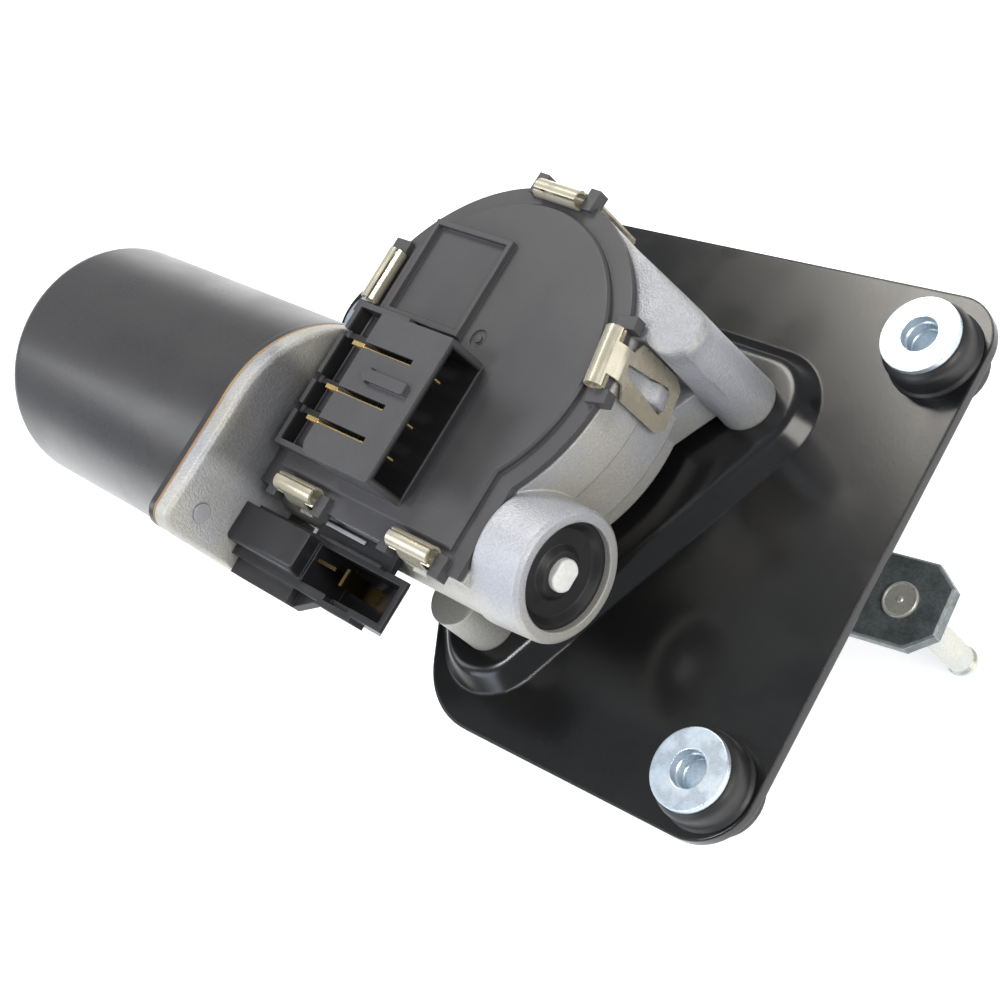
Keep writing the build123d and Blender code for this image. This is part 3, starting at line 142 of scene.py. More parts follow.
world = bpy.data.worlds.new("studio")
scene.world = world
world.use_nodes = True
background = world.node_tree.nodes["Background"]
background.inputs["Color"].default_value = STUDIO_COLOUR
background.inputs["Strength"].default_value = STUDIO_STRENGTH


def soft_light(name, spot, target, width, height, watts, colour):
    """A rectangular soft light at a spot, turned to a target."""
    data = bpy.data.lights.new(name, "AREA")
    data.shape = "RECTANGLE"
    data.size = width
    data.size_y = height
    data.energy = watts
    data.color = colour
    lamp = bpy.data.objects.new(name, data)
    scene.collection.objects.link(lamp)
    lamp.location = spot
    lamp.rotation_mode = "QUATERNION"
    lamp.rotation_quaternion = (Vector(target) - Vector(spot)).to_track_quat("-Z", "Y")


for light in LIGHTS:
    soft_light(*light)

# ---------------------------------------------------------------- shared surface effects

FLOAT = "NodeSocketFloat"
VECTOR = "NodeSocketVector"
GRAIN_ROUGHNESS = 0.6
PATCH_DETAIL = 4.0
EDGE_SAMPLES = 6
# How far the rounded normal agrees with the true one where rubbing starts and where it is full
RUB_STARTS = 0.995
RUB_FULL = 0.86
BREAK_DETAIL = 3.0
BREAK_LOW = 0.35
BREAK_HIGH = 0.6
RING_DETAIL = 2.0


def effect(name, inputs, outputs):
    """An empty shared effect with named inputs and outputs."""
    made = bpy.data.node_groups.new(name, "ShaderNodeTree")
    for label, kind, value in inputs:
        socket = made.interface.new_socket(label, in_out="INPUT", socket_type=kind)
        if value is not None:
            socket.default_value = value
    for label, kind in outputs:
        made.interface.new_socket(label, in_out="OUTPUT", socket_type=kind)
    return made, made.nodes.new("NodeGroupInput"), made.nodes.new("NodeGroupOutput")


def least_of(group, values):
    """The smallest of several outputs."""
    least = values[0]
    for value in values[1:]:
        smaller = group.nodes.new("ShaderNodeMath")
        smaller.operation = "MINIMUM"
        group.links.new(least, smaller.inputs[0])
        group.links.new(value, smaller.inputs[1])
        least = smaller.outputs["Value"]
    return least


def grain_effect():
    """Noise for sand-blasted grain, moulded texture and paint ripple."""
    group, start, end = effect(
        "surface_grain",
        [("Position", VECTOR, None), ("Scale", FLOAT, 1500.0), ("Detail", FLOAT, 2.0)],
        [("Height", FLOAT)],
    )
    noise = group.nodes.new("ShaderNodeTexNoise")
    noise.inputs["Roughness"].default_value = GRAIN_ROUGHNESS
    group.links.new(start.outputs["Position"], noise.inputs["Vector"])
    group.links.new(start.outputs["Scale"], noise.inputs["Scale"])
    group.links.new(start.outputs["Detail"], noise.inputs["Detail"])
    group.links.new(noise.outputs["Fac"], end.inputs["Height"])
    return group


def patch_effect():
    """Noise stretched between two values, for patches of colour and gloss."""
    group, start, end = effect(
        "soft_patches",
        [
            ("Position", VECTOR, None),
            ("Scale", FLOAT, 40.0),
            ("Low", FLOAT, 0.4),
            ("High", FLOAT, 0.6),
            ("From", FLOAT, 0.0),
            ("To", FLOAT, 1.0),
        ],
        [("Value", FLOAT)],
    )
    noise = group.nodes.new("ShaderNodeTexNoise")
    noise.inputs["Detail"].default_value = PATCH_DETAIL
    spread = group.nodes.new("ShaderNodeMapRange")
    spread.interpolation_type = "SMOOTHSTEP"
    group.links.new(start.outputs["Position"], noise.inputs["Vector"])
    group.links.new(start.outputs["Scale"], noise.inputs["Scale"])
    group.links.new(noise.outputs["Fac"], spread.inputs["Value"])
    group.links.new(start.outputs["Low"], spread.inputs["From Min"])
    group.links.new(start.outputs["High"], spread.inputs["From Max"])
    group.links.new(start.outputs["From"], spread.inputs["To Min"])
    group.links.new(start.outputs["To"], spread.inputs["To Max"])
    group.links.new(spread.outputs["Result"], end.inputs["Value"])
    return group


def edge_effect():
    """Rounded edges for the light, and a mask where handling has rubbed them."""
    group, start, end = effect(
        "rubbed_edges",
        [("Position", VECTOR, None), ("Radius", FLOAT, 0.0004), ("Breaks", FLOAT, 300.0)],
        [("Normal", VECTOR), ("Mask", FLOAT)],
    )
    rounding = group.nodes.new("ShaderNodeBevel")
    rounding.samples = EDGE_SAMPLES
    facing = group.nodes.new("ShaderNodeNewGeometry")
    agreement = group.nodes.new("ShaderNodeVectorMath")
    agreement.operation = "DOT_PRODUCT"
    bend = group.nodes.new("ShaderNodeMapRange")
    bend.inputs["From Min"].default_value = RUB_STARTS
    bend.inputs["From Max"].default_value = RUB_FULL
    breaks = group.nodes.new("ShaderNodeTexNoise")
    breaks.inputs["Detail"].default_value = BREAK_DETAIL
    broken = group.nodes.new("ShaderNodeMapRange")
    broken.inputs["From Min"].default_value = BREAK_LOW
    broken.inputs["From Max"].default_value = BREAK_HIGH
    both = group.nodes.new("ShaderNodeMath")
    both.operation = "MULTIPLY"
    group.links.new(start.outputs["Radius"], rounding.inputs["Radius"])
    group.links.new(rounding.outputs["Normal"], agreement.inputs[0])
    group.links.new(facing.outputs["Normal"], agreement.inputs[1])
    group.links.new(agreement.outputs["Value"], bend.inputs["Value"])
    group.links.new(start.outputs["Position"], breaks.inputs["Vector"])
    group.links.new(start.outputs["Breaks"], breaks.inputs["Scale"])
    group.links.new(breaks.outputs["Fac"], broken.inputs["Value"])
    group.links.new(bend.outputs["Result"], both.inputs[0])
    group.links.new(broken.outputs["Result"], both.inputs[1])
    group.links.new(rounding.outputs["Normal"], end.inputs["Normal"])
    group.links.new(both.outputs["Value"], end.inputs["Mask"])
    return group


def ring_effect():
    """Fine turning rings about whichever of three upright axes is nearest."""
    group, start, end = effect(
        "turning_rings",
        [
            ("Position", VECTOR, None),
            ("First", VECTOR, None),
            ("Second", VECTOR, None),
            ("Third", VECTOR, None),
            ("Rings", FLOAT, 1100.0),
        ],
        [("Height", FLOAT)],
    )
    flat = group.nodes.new("ShaderNodeVectorMath")
    flat.operation = "MULTIPLY"
    flat.inputs[1].default_value = (1.0, 1.0, 0.0)
    group.links.new(start.outputs["Position"], flat.inputs[0])
    distances = []
    for label in ("First", "Second", "Third"):
        reach = group.nodes.new("ShaderNodeVectorMath")
        reach.operation = "DISTANCE"
        group.links.new(flat.outputs["Vector"], reach.inputs[0])
        group.links.new(start.outputs[label], reach.inputs[1])
        distances.append(reach.outputs["Value"])
    noise = group.nodes.new("ShaderNodeTexNoise")
    noise.noise_dimensions = "1D"
    noise.inputs["Detail"].default_value = RING_DETAIL
    group.links.new(least_of(group, distances), noise.inputs["W"])
    group.links.new(start.outputs["Rings"], noise.inputs["Scale"])
    group.links.new(noise.outputs["Fac"], end.inputs["Height"])
    return group


def box_effect():
    """One inside a box and nought outside, with soft sides."""
    group, start, end = effect(
        "inside_box",
        [
            ("Position", VECTOR, None),
            ("Middle", VECTOR, None),
            ("Half", VECTOR, None),
            ("Soft", FLOAT, 0.0005),
        ],
        [("Mask", FLOAT)],
    )
    offset = group.nodes.new("ShaderNodeVectorMath")
    offset.operation = "SUBTRACT"
    size = group.nodes.new("ShaderNodeVectorMath")
    size.operation = "ABSOLUTE"
    depth = group.nodes.new("ShaderNodeVectorMath")
    depth.operation = "SUBTRACT"
    split = group.nodes.new("ShaderNodeSeparateXYZ")
    group.links.new(start.outputs["Position"], offset.inputs[0])
    group.links.new(start.outputs["Middle"], offset.inputs[1])
    group.links.new(offset.outputs["Vector"], size.inputs[0])
    group.links.new(start.outputs["Half"], depth.inputs[0])
    group.links.new(size.outputs["Vector"], depth.inputs[1])
    group.links.new(depth.outputs["Vector"], split.inputs["Vector"])
    least = least_of(group, [split.outputs[side] for side in "XYZ"])
    spread = group.nodes.new("ShaderNodeMapRange")
    spread.interpolation_type = "SMOOTHSTEP"
    group.links.new(least, spread.inputs["Value"])
    group.links.new(start.outputs["Soft"], spread.inputs["From Max"])
    group.links.new(spread.outputs["Result"], end.inputs["Mask"])
    return group


grain = grain_effect()
patches = patch_effect()
edges = edge_effect()
rings = ring_effect()
boxes = box_effect()


def graph(name):
    """A new material with its node tree and its main shader."""
    material = bpy.data.materials.new(name)
    material.use_nodes = True
    tree = material.node_tree
    return material, tree, tree.nodes["Principled BSDF"]


def place(tree, shared, position, **values):
    """Put a shared effect into a material, on the given position, with its own values."""
    node = tree.nodes.new("ShaderNodeGroup")
    node.node_tree = shared
    tree.links.new(position, node.inputs["Position"])
    for label, value in values.items():
        node.inputs[label].default_value = value
    return node


def blend_colours(tree, factor, first, second):
    """Mix two colours; either may be a plain colour or an output."""
    mix = tree.nodes.new("ShaderNodeMix")
    mix.data_type = "RGBA"
    tree.links.new(factor, mix.inputs["Factor"])
    for value, socket in ((first, mix.inputs["A"]), (second, mix.inputs["B"])):
        if isinstance(value, bpy.types.NodeSocket):
            tree.links.new(value, socket)
        else:
            socket.default_value = (*value, 1.0)
    return mix.outputs["Result"]


def dim(tree, factor, colour):
    """A colour made lighter or darker by an output."""
    scaled = tree.nodes.new("ShaderNodeVectorMath")
    scaled.operation = "SCALE"
    tree.links.new(colour, scaled.inputs[0])
    tree.links.new(factor, scaled.inputs["Scale"])
    return scaled.outputs["Vector"]


# The noise values between which flecks fade in, how much finer the patches of gloss are than
# those of colour, and the soft side of a soft spot in millimetres
FLECK_LOW = 0.35
FLECK_HIGH = 0.65
GLOSS_FINER = 3.3
SPOT_SIDE = 2.0


def surface(
    name,
    colour,
    second,
    roughness,
    metallic=0.0,
    grain_scale=1500.0,
    grain_depth=0.02,
    patch_scale=40.0,
    speckle=0.05,
    edge=0.3,
    rubbed=None,
    stretch=None,
    ringed=False,
    painted_shade_boxes=(),
    soft_spot=None,
):
    """One finish: two colours in soft patches, grain, rounded edges, rubbed corners and boxes of
    painted shade.

    The grain depth and the edge radius are in millimetres. A painted-shade box darkens the colour
    inside it with painted shade where little light reaches the surface: its middle, half sizes,
    soft side and share of colour. A soft spot is a box, by its middle and half sizes, with its own
    edge radius.
    """
    material, tree, shader = graph(name)
    position = tree.nodes.new("ShaderNodeTexCoord").outputs["Object"]
    shader.inputs["Metallic"].default_value = metallic
    soft = place(tree, patches, position, Scale=patch_scale)
    base = blend_colours(tree, soft.outputs["Value"], colour, second)
    run = position
    if stretch is not None:
        mapping = tree.nodes.new("ShaderNodeMapping")
        mapping.inputs["Scale"].default_value = stretch
        tree.links.new(position, mapping.inputs["Vector"])
        run = mapping.outputs["Vector"]
    flecks = place(
        tree,
        patches,
        run,
        Scale=grain_scale,
        Low=FLECK_LOW,
        High=FLECK_HIGH,
        From=1 - speckle,
        To=1 + speckle,
    )
    base = dim(tree, flecks.outputs["Value"], base)
    gloss = place(
        tree, patches, position, Scale=patch_scale * GLOSS_FINER, From=roughness[0], To=roughness[1]
    )
    tree.links.new(gloss.outputs["Value"], shader.inputs["Roughness"])
    rim = place(tree, edges, position, Radius=edge * MM)
    if soft_spot is not None:
        middle, half, radius = soft_spot
        around = place(
            tree,
            boxes,
            position,
            Middle=Vector(middle) * MM,
            Half=Vector(half) * MM,
            Soft=SPOT_SIDE * MM,
        )
        wider = tree.nodes.new("ShaderNodeMapRange")
        wider.inputs["To Min"].default_value = edge * MM
        wider.inputs["To Max"].default_value = radius * MM
        tree.links.new(around.outputs["Mask"], wider.inputs["Value"])
        tree.links.new(wider.outputs["Result"], rim.inputs["Radius"])
    if rubbed is not None:
        base = blend_colours(tree, rim.outputs["Mask"], base, rubbed)
    # Each box darkens the colour inside it with painted shade
    for middle, half, soft_side, depth in painted_shade_boxes:
        inside = place(
            tree,
            boxes,
            position,
            Middle=Vector(middle) * MM,
            Half=Vector(half) * MM,
            Soft=soft_side * MM,
        )
        shade = tree.nodes.new("ShaderNodeMapRange")
        shade.inputs["To Min"].default_value = 1.0
        shade.inputs["To Max"].default_value = depth
        tree.links.new(inside.outputs["Mask"], shade.inputs["Value"])
        base = dim(tree, shade.outputs["Result"], base)
    tree.links.new(base, shader.inputs["Base Color"])
    if ringed:
        first, another, third = BUSH_PLACES
        fine = place(tree, rings, position, First=first, Second=another, Third=third)
    else:
        fine = place(tree, grain, run, Scale=grain_scale)
    bump = tree.nodes.new("ShaderNodeBump")
    bump.inputs["Strength"].default_value = 1.0
    bump.inputs["Distance"].default_value = grain_depth * MM
    tree.links.new(fine.outputs["Height"], bump.inputs["Height"])
    tree.links.new(rim.outputs["Normal"], bump.inputs["Normal"])
    tree.links.new(bump.outputs["Normal"], shader.inputs["Normal"])
    return material


# ---------------------------------------------------------------- finishes

looks = {
    "casting": surface(
        "blasted_casting", (0.42, 0.43, 0.465), (0.48, 0.47, 0.43), (0.42, 0.52), metallic=0.45,
        grain_scale=2000.0, grain_depth=0.18, patch_scale=25.0, speckle=0.07, edge=0.7,
        rubbed=(0.60, 0.59, 0.56), soft_spot=((46.0, 16.0, 45.0), (14.0, 16.0, 13.0), 3.0),
        # Painted shade: one box darkens the right pillar's top and shoulder, the other darkens the
        # flange beside the cover as a painted dark reflection of the cover
        painted_shade_boxes=[
            ((44.0, 14.0, 49.0), (17.0, 20.0, 8.5), 4.0, 0.80),
            ((-30.0, -33.0, 53.0), (13.0, 17.0, 16.0), 6.0, 0.5),
        ],
    ),
    "can_paint": surface(
        "can_satin_paint", (0.040, 0.039, 0.041), (0.046, 0.044, 0.045), (0.27, 0.32),
        grain_scale=900.0, grain_depth=0.004, patch_scale=16.0, edge=0.5,
    ),
    "gasket_paper": surface(
        "gasket_paper", (0.26, 0.15, 0.07), (0.34, 0.21, 0.10), (0.7, 0.8), grain_depth=0.03,
    ),
    "screw_steel": surface(
        "plated_screw", (0.42, 0.43, 0.46), (0.38, 0.39, 0.42), (0.34, 0.44), metallic=0.4,
        patch_scale=60.0,
    ),
    "magnet_ferrite": surface("ferrite", (0.05, 0.05, 0.055), (0.07, 0.07, 0.07), (0.6, 0.7)),
    "sintered_bronze": surface(
        "sintered_bronze", (0.42, 0.28, 0.15), (0.36, 0.23, 0.12), (0.4, 0.55), metallic=0.9,
        grain_scale=2500.0, speckle=0.15,
    ),
    "rubber": surface(
        "moulded_rubber", (0.010, 0.010, 0.011), (0.016, 0.016, 0.017), (0.40, 0.52),
        grain_scale=1100.0, patch_scale=50.0, edge=0.5,
    ),
    "white_nylon": surface(
        "white_nylon", (0.80, 0.80, 0.78), (0.72, 0.73, 0.73), (0.34, 0.42), patch_scale=90.0,
        edge=0.5,
    ),
    "cover_plastic": surface(
        "cover_moulding", (0.062, 0.061, 0.065), (0.050, 0.049, 0.054), (0.42, 0.50),
        grain_scale=2600.0, grain_depth=0.012, patch_scale=22.0, speckle=0.06, edge=0.35,
        rubbed=(0.085, 0.083, 0.092),
        # Painted shade inside the socket and along its pockets, and a painted shadow on the lid
        # beside the socket's open side
        painted_shade_boxes=[
            ((-1.1, -20.25, 56.85), (13.1, 16.65, 5.65), 0.9, 0.12),
            ((-23.2, -18.7, 53.1), (8.6, 17.9, 2.1), 0.7, 0.15),
            ((19.0, -20.0, 52.0), (12.0, 16.0, 20.0), 10.0, 0.5),
        ],
    ),
    "connector_plastic": surface(
        "connector_moulding", (0.015, 0.015, 0.018), (0.011, 0.011, 0.014), (0.38, 0.46),
        grain_scale=2400.0, grain_depth=0.012, patch_scale=30.0, edge=0.4,
        rubbed=(0.030, 0.030, 0.036),
        # Painted shade inside the connector's mouth
        painted_shade_boxes=[((2.4, -56.2, 42.0), (14.2, 5.0, 7.2), 0.8, 0.3)],
    ),
    "clip_steel": surface(
        "nickel_spring", (0.64, 0.595, 0.47), (0.60, 0.55, 0.43), (0.22, 0.30), metallic=0.62,
        grain_scale=700.0, grain_depth=0.003, patch_scale=60.0, speckle=0.03, edge=0.0,
    ),
    "brass": surface(
        "bright_brass", (0.78, 0.57, 0.24), (0.66, 0.45, 0.17), (0.25, 0.35), metallic=0.9,
        # Painted shade darkens the blades inside the connector's mouth
        edge=0.1, painted_shade_boxes=[((2.0, -56.0, 41.0), (16.0, 6.5, 7.0), 4.0, 0.05)],
    ),
    "plate_paint": surface(
        "glossy_black_coat", (0.006, 0.006, 0.007), (0.008, 0.008, 0.008), (0.18, 0.22),
        grain_scale=1500.0, grain_depth=0.007, patch_scale=20.0, speckle=0.15, edge=0.9,
    ),
    "sleeve_zinc": surface(
        "blue_zinc", (0.66, 0.74, 0.80), (0.58, 0.67, 0.76), (0.26, 0.34), metallic=0.75,
        grain_depth=0.006, patch_scale=80.0, edge=0.4, ringed=True,
    ),
    "arm_zinc": surface(
        "arm_zinc", (0.17, 0.195, 0.20), (0.12, 0.14, 0.145), (0.30, 0.42), metallic=0.35,
        grain_scale=1600.0, grain_depth=0.012, patch_scale=160.0, speckle=0.15, edge=0.35,
        rubbed=(0.66, 0.72, 0.74),
    ),
    "pin_zinc": surface(
        "pin_zinc", (0.72, 0.71, 0.62), (0.66, 0.68, 0.64), (0.26, 0.36), metallic=0.55,
        patch_scale=120.0, edge=0.3,
    ),
    "brush_plastic": surface("phenolic", (0.10, 0.06, 0.035), (0.12, 0.07, 0.04), (0.5, 0.6)),
    "carbon": surface("carbon", (0.03, 0.03, 0.03), (0.04, 0.04, 0.04), (0.5, 0.6)),
    "shaft_steel": surface(
        "ground_steel", (0.60, 0.60, 0.62), (0.54, 0.54, 0.56), (0.22, 0.32), metallic=1.0,
        grain_scale=900.0,
    ),
    "stack_steel": surface(
        "laminations", (0.30, 0.31, 0.34), (0.24, 0.25, 0.28), (0.4, 0.5), metallic=1.0,
        grain_scale=1200.0, grain_depth=0.06, stretch=(3.0, 0.02, 0.02),
    ),
    "winding_copper": surface(
        "enamelled_copper", (0.62, 0.26, 0.11), (0.50, 0.19, 0.08), (0.25, 0.35), metallic=0.9,
        grain_scale=900.0, grain_depth=0.1, stretch=(0.1, 1.0, 1.0),
    ),
}

slot_of = {row["node"]: row["material_slot"] for row in record["subparts"]}
for name, node in nodes.items():
    node.data.materials.clear()
    node.data.materials.append(looks[slot_of[name]])

# ---------------------------------------------------------------- welded copies of what is seen

SEEN = (
    "motor_can",
    "can_gasket",
    "can_screws",
    "gear_housing",
    "end_cap",
    "thrust_plug",
    "gear_cover",
    "feed_connector",
    "feed_terminals",
    "mounting_plate",
    "plate_screws",
    "bush_rubbers",
    "bush_sleeves",
    "output_shaft",
    "crank_arm",
    "crank_nut",
)


def mark_sharp(shape, sharp):
    """Smooth every face and keep the edges sharper than an angle in degrees."""
    bmesh.ops.recalc_face_normals(shape, faces=shape.faces)
    for face in shape.faces:
        face.smooth = True
    for line in shape.edges:
        if len(line.link_faces) == 2:
            line.smooth = line.calc_face_angle() <= math.radians(sharp)


def add_piece(shape, name, material_slot, body):
    """Turn built geometry into a shown piece on a body."""
    mesh = bpy.data.meshes.new(name)
    shape.to_mesh(mesh)
    shape.free()
    made = bpy.data.objects.new(name, mesh)
    scene.collection.objects.link(made)
    mesh.materials.append(looks[material_slot])
    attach(made, body)
    return made


def block(shape, low, high):
    """A plain block, given by two corners in millimetres."""
    size = Vector(high) - Vector(low)
    middle = (Vector(high) + Vector(low)) / 2
    matrix = Matrix.Translation(middle * MM) @ Matrix.Diagonal((*(size * MM), 1.0))
    bmesh.ops.create_cube(shape, size=1.0, matrix=matrix)


def carve(piece, spaces):
    """Cut box-shaped spaces, each given by two corners in millimetres, out of a piece."""
    shape = bmesh.new()
    for low, high in spaces:
        block(shape, low, high)
    mesh = bpy.data.meshes.new("cutter")
    shape.to_mesh(mesh)
    shape.free()
    cutter = bpy.data.objects.new("cutter", mesh)
    scene.collection.objects.link(cutter)
    cut = piece.modifiers.new("spaces", "BOOLEAN")
    cut.operation = "DIFFERENCE"
    cut.solver = "EXACT"
    cut.object = cutter
    seen = piece.evaluated_get(bpy.context.evaluated_depsgraph_get())
    carved = bpy.data.meshes.new_from_object(seen)
    piece.modifiers.clear()
    piece.data = carved
    bpy.data.objects.remove(cutter)
    shape = bmesh.new()
    shape.from_mesh(carved)
    mark_sharp(shape, CRISP)
    shape.to_mesh(carved)
    shape.free()


def show_smooth(name):
    """Show a CAD piece as a welded copy with smooth curves and crisp edges."""
    source = nodes[name]
    shape = bmesh.new()
    shape.from_mesh(source.data)
    bmesh.ops.remove_doubles(shape, verts=shape.verts, dist=WELD)
    mark_sharp(shape, CRISP)
    copy = add_piece(shape, name + "_shown", slot_of[name], source["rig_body"])
    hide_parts(name)
    return copy


shown = {name: show_smooth(name) for name in SEEN}

# The walls between the socket's pockets are cut down below the rim: each wall's two faces, and
# the cut's reach along the walls and in height, all in millimetres
WALLS = ((-8.8, -7.0), (-20.6, -18.8), (-28.4, -26.6))
CUT_ALONG = (-33.6, -15.2)
CUT_HEIGHT = (53.8, 57.0)
carve(
    shown["gear_cover"],
    [
        ((CUT_ALONG[0], low, CUT_HEIGHT[0]), (CUT_ALONG[1], high, CUT_HEIGHT[1]))
        for low, high in WALLS
    ],
)

# ---------------------------------------------------------------- spring clips

CLIP_LENGTH = 13.0
CLIP_METAL = 0.5
# The roll's middle and the strap's outer face, outwards from the case wall and in height
ROLL_CENTRE = (-1.6, 52.1)
ROLL_RADIUS = 2.05
LEAF_STEP = 0.18
# First and last angle in degrees, and the number of steps between them
INNER_ARC = (118, 8, 16)
OUTER_ARC = (345, 134, 24)
LEAD_ARC = (30, 8, 3)
STRAP_FACE = 1.4
STRAP_TOP = ROLL_CENTRE[1] - 3.0
# The sheet's way from the roll down to the strap: how far inside its face, how far below the roll
LEAD = ((0.45, 1.0), (0.12, 2.0))
NECK_INSET = 2.9
COVER_BASE = 48.5
FLARE_TOP = COVER_BASE - 2.6
FLARE_HEIGHT = 1.6
LOWER_CORNER = (1.9, 2.4)
# Corner radius of a strap and of its hole, and the steps in a corner
LONG_CORNERS = (0.5, 0.8)
SHORT_CORNERS = (0.4, 0.5)
CORNER_STEPS = 5
# A hole's half width below and above, and how far it stays under the strap's top
LONG_HOLE = (3.2, 0.9, 1.1)
SHORT_HOLE = (2.4, 1.2, 2.2)
# The height of a strap's end, and of the bar between the end and the hole
LONG_STRAP = (29.5, 3.5)
SHORT_STRAP = (43.0, 2.0)
# Place on the case wall, angle of the outward direction, and strap
CLIPS = (
    (39.2246, 7.8378, 11.3, LONG_STRAP),
    (1.3960, 39.9756, 88.0, LONG_STRAP),
    (-36.2, 8.2, 180.0, SHORT_STRAP),
    (-21.0, -45.4, -90.0, SHORT_STRAP),
    (18.7, -45.4, -90.0, SHORT_STRAP),
)


def arc(centre, radius, first, last, count):
    """Points on an arc, from one angle to another."""
    points = []
    for k in range(count + 1):
        angle = math.radians(first + (last - first) * k / count)
        points.append((centre[0] + radius * math.cos(angle), centre[1] + radius * math.sin(angle)))
    return points


def bent_strip(shape, line, thickness, half_width, matrix):
    """Sheet metal that follows a line: the line is the sheet's outer face."""
    count = len(line)
    inner = []
    for k, point in enumerate(line):
        before = Vector(line[max(k - 1, 0)])
        after = Vector(line[min(k + 1, count - 1)])
        run = (after - before).normalized()
        inner.append((point[0] + run.y * thickness, point[1] - run.x * thickness))
    loops = []
    for side in (-half_width, half_width):
        loops.append(
            [
                shape.verts.new(matrix @ Vector((side * MM, u * MM, w * MM)))
                for u, w in [*line, *inner[::-1]]
            ]
        )
    total = 2 * count
    for k in range(total):
        near = (k + 1) % total
        shape.faces.new((loops[0][k], loops[0][near], loops[1][near], loops[1][k]))
    for k in range(count - 1):
        far = total - 1 - k
        for loop in loops:
            shape.faces.new((loop[k], loop[k + 1], loop[far - 1], loop[far]))


def flat_plate(shape, outline, hole, face, thickness, matrix):
    """A flat plate with one hole: outline and hole are (across, height) in millimetres."""
    rims = []
    for depth in (face, face - thickness):
        verts = []
        lines = []
        for loop in (outline, hole):
            ring = [
                shape.verts.new(matrix @ Vector((v * MM, depth * MM, w * MM))) for v, w in loop
            ]
            for k, vert in enumerate(ring):
                lines.append(shape.edges.new((vert, ring[(k + 1) % len(ring)])))
            verts.append(ring)
        bmesh.ops.triangle_fill(shape, edges=lines, use_beauty=True)
        rims.append(verts)
    for outer, inner in zip(*rims):
        for k in range(len(outer)):
            near = (k + 1) % len(outer)
            shape.faces.new((outer[k], outer[near], inner[near], inner[k]))


def rounded(points, radius):
    """An outline with every corner rounded."""
    made = []
    for k, point in enumerate(points):
        here = Vector(point)
        before = (Vector(points[k - 1]) - here).normalized()
        after = (Vector(points[(k + 1) % len(points)]) - here).normalized()
        reach = radius / math.tan(before.angle(after) / 2)
        start = here + before * reach
        end = here + after * reach
        for step in range(CORNER_STEPS + 1):
            share = step / CORNER_STEPS
            made.append(tuple(start.lerp(here, share).lerp(here.lerp(end, share), share)))
    return made


def tapered_hole(widths, low):
    """The outline of a strap's hole, from its lower side up."""
    below, above, under = widths
    high = STRAP_TOP - under
    return [(-below, low), (below, low), (above, high), (-above, high)]


def spring_clip(shape, x, y, angle, strap):
    """One clip: an open roll over the brim and a strap with a hole for the hook."""
    end, bar = strap
    turn = math.radians(angle)
    matrix = Matrix.Translation((x * MM, y * MM, 0)) @ Matrix.Rotation(turn - math.pi / 2, 4, "Z")
    half = CLIP_LENGTH / 2
    neck = half - NECK_INSET
    inner_leaf = arc(ROLL_CENTRE, ROLL_RADIUS, *INNER_ARC)
    outer_leaf = arc(ROLL_CENTRE, ROLL_RADIUS + LEAF_STEP, *OUTER_ARC)
    for leaf in (inner_leaf, outer_leaf):
        bent_strip(shape, leaf, CLIP_METAL, half, matrix)
    lead = arc(ROLL_CENTRE, ROLL_RADIUS, *LEAD_ARC)
    lead += [(STRAP_FACE - inside, ROLL_CENTRE[1] - below) for inside, below in LEAD]
    lead.append((STRAP_FACE, STRAP_TOP))
    bent_strip(shape, lead, CLIP_METAL, neck, matrix)
    if strap is SHORT_STRAP:
        outline = [(-neck, STRAP_TOP), (-neck, end), (neck, end), (neck, STRAP_TOP)]
        rim = rounded(outline, SHORT_CORNERS[0])
        hole = rounded(tapered_hole(SHORT_HOLE, end + bar), SHORT_CORNERS[1])
        flat_plate(shape, rim, hole, STRAP_FACE, CLIP_METAL, matrix)
        return
    corner, rise = LOWER_CORNER
    outline = [
        (-neck, STRAP_TOP),
        (-neck, FLARE_TOP + FLARE_HEIGHT),
        (-half, FLARE_TOP),
        (-half, end + rise),
        (-half + corner, end),
        (half - corner, end),
        (half, end + rise),
        (half, FLARE_TOP),
        (neck, FLARE_TOP + FLARE_HEIGHT),
        (neck, STRAP_TOP),
    ]
    rim = rounded(outline, LONG_CORNERS[0])
    hole = rounded(tapered_hole(LONG_HOLE, end + bar), LONG_CORNERS[1])
    flat_plate(shape, rim, hole, STRAP_FACE, CLIP_METAL, matrix)


clip_body = nodes["cover_clips"]["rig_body"]
shape = bmesh.new()
for x, y, angle, strap in CLIPS:
    spring_clip(shape, x, y, angle, strap)
mark_sharp(shape, CRISP)
clips = add_piece(shape, "spring_clips", "clip_steel", clip_body)
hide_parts("cover_clips")

# ---------------------------------------------------------------- crank pin

ARM_TOP = -14.0
ARM_BOTTOM = -17.0
PIN_TIP = -49.5
PIN_RADIUS = 3.2
TURNING_STEPS = 48
# Radius and height down the pin: riveted head, shank in the arm, collar, bearing, groove and tip
PIN_PROFILE = (
    (0.0, ARM_TOP + 0.75),
    (0.5, ARM_TOP + 0.7),
    (0.8, ARM_TOP + 0.4),
    (3.3, ARM_TOP + 0.5),
    (3.7, ARM_TOP + 0.75),
    (4.0, ARM_TOP + 0.6),
    (4.1, ARM_TOP),
    (PIN_RADIUS, ARM_TOP),
    (PIN_RADIUS, ARM_BOTTOM),
    (4.6, ARM_BOTTOM),
    (4.6, ARM_BOTTOM - 1.0),
    (4.3, ARM_BOTTOM - 1.6),
    (PIN_RADIUS, ARM_BOTTOM - 5.0),
    (PIN_RADIUS, PIN_TIP + 3.4),
    (PIN_RADIUS - 0.35, PIN_TIP + 3.0),
    (PIN_RADIUS - 0.35, PIN_TIP + 2.5),
    (PIN_RADIUS + 0.3, PIN_TIP + 2.1),
    (PIN_RADIUS + 0.3, PIN_TIP + 1.2),
    (PIN_RADIUS - 0.3, PIN_TIP + 0.3),
    (PIN_RADIUS - 1.4, PIN_TIP),
    (0.0, PIN_TIP),
)


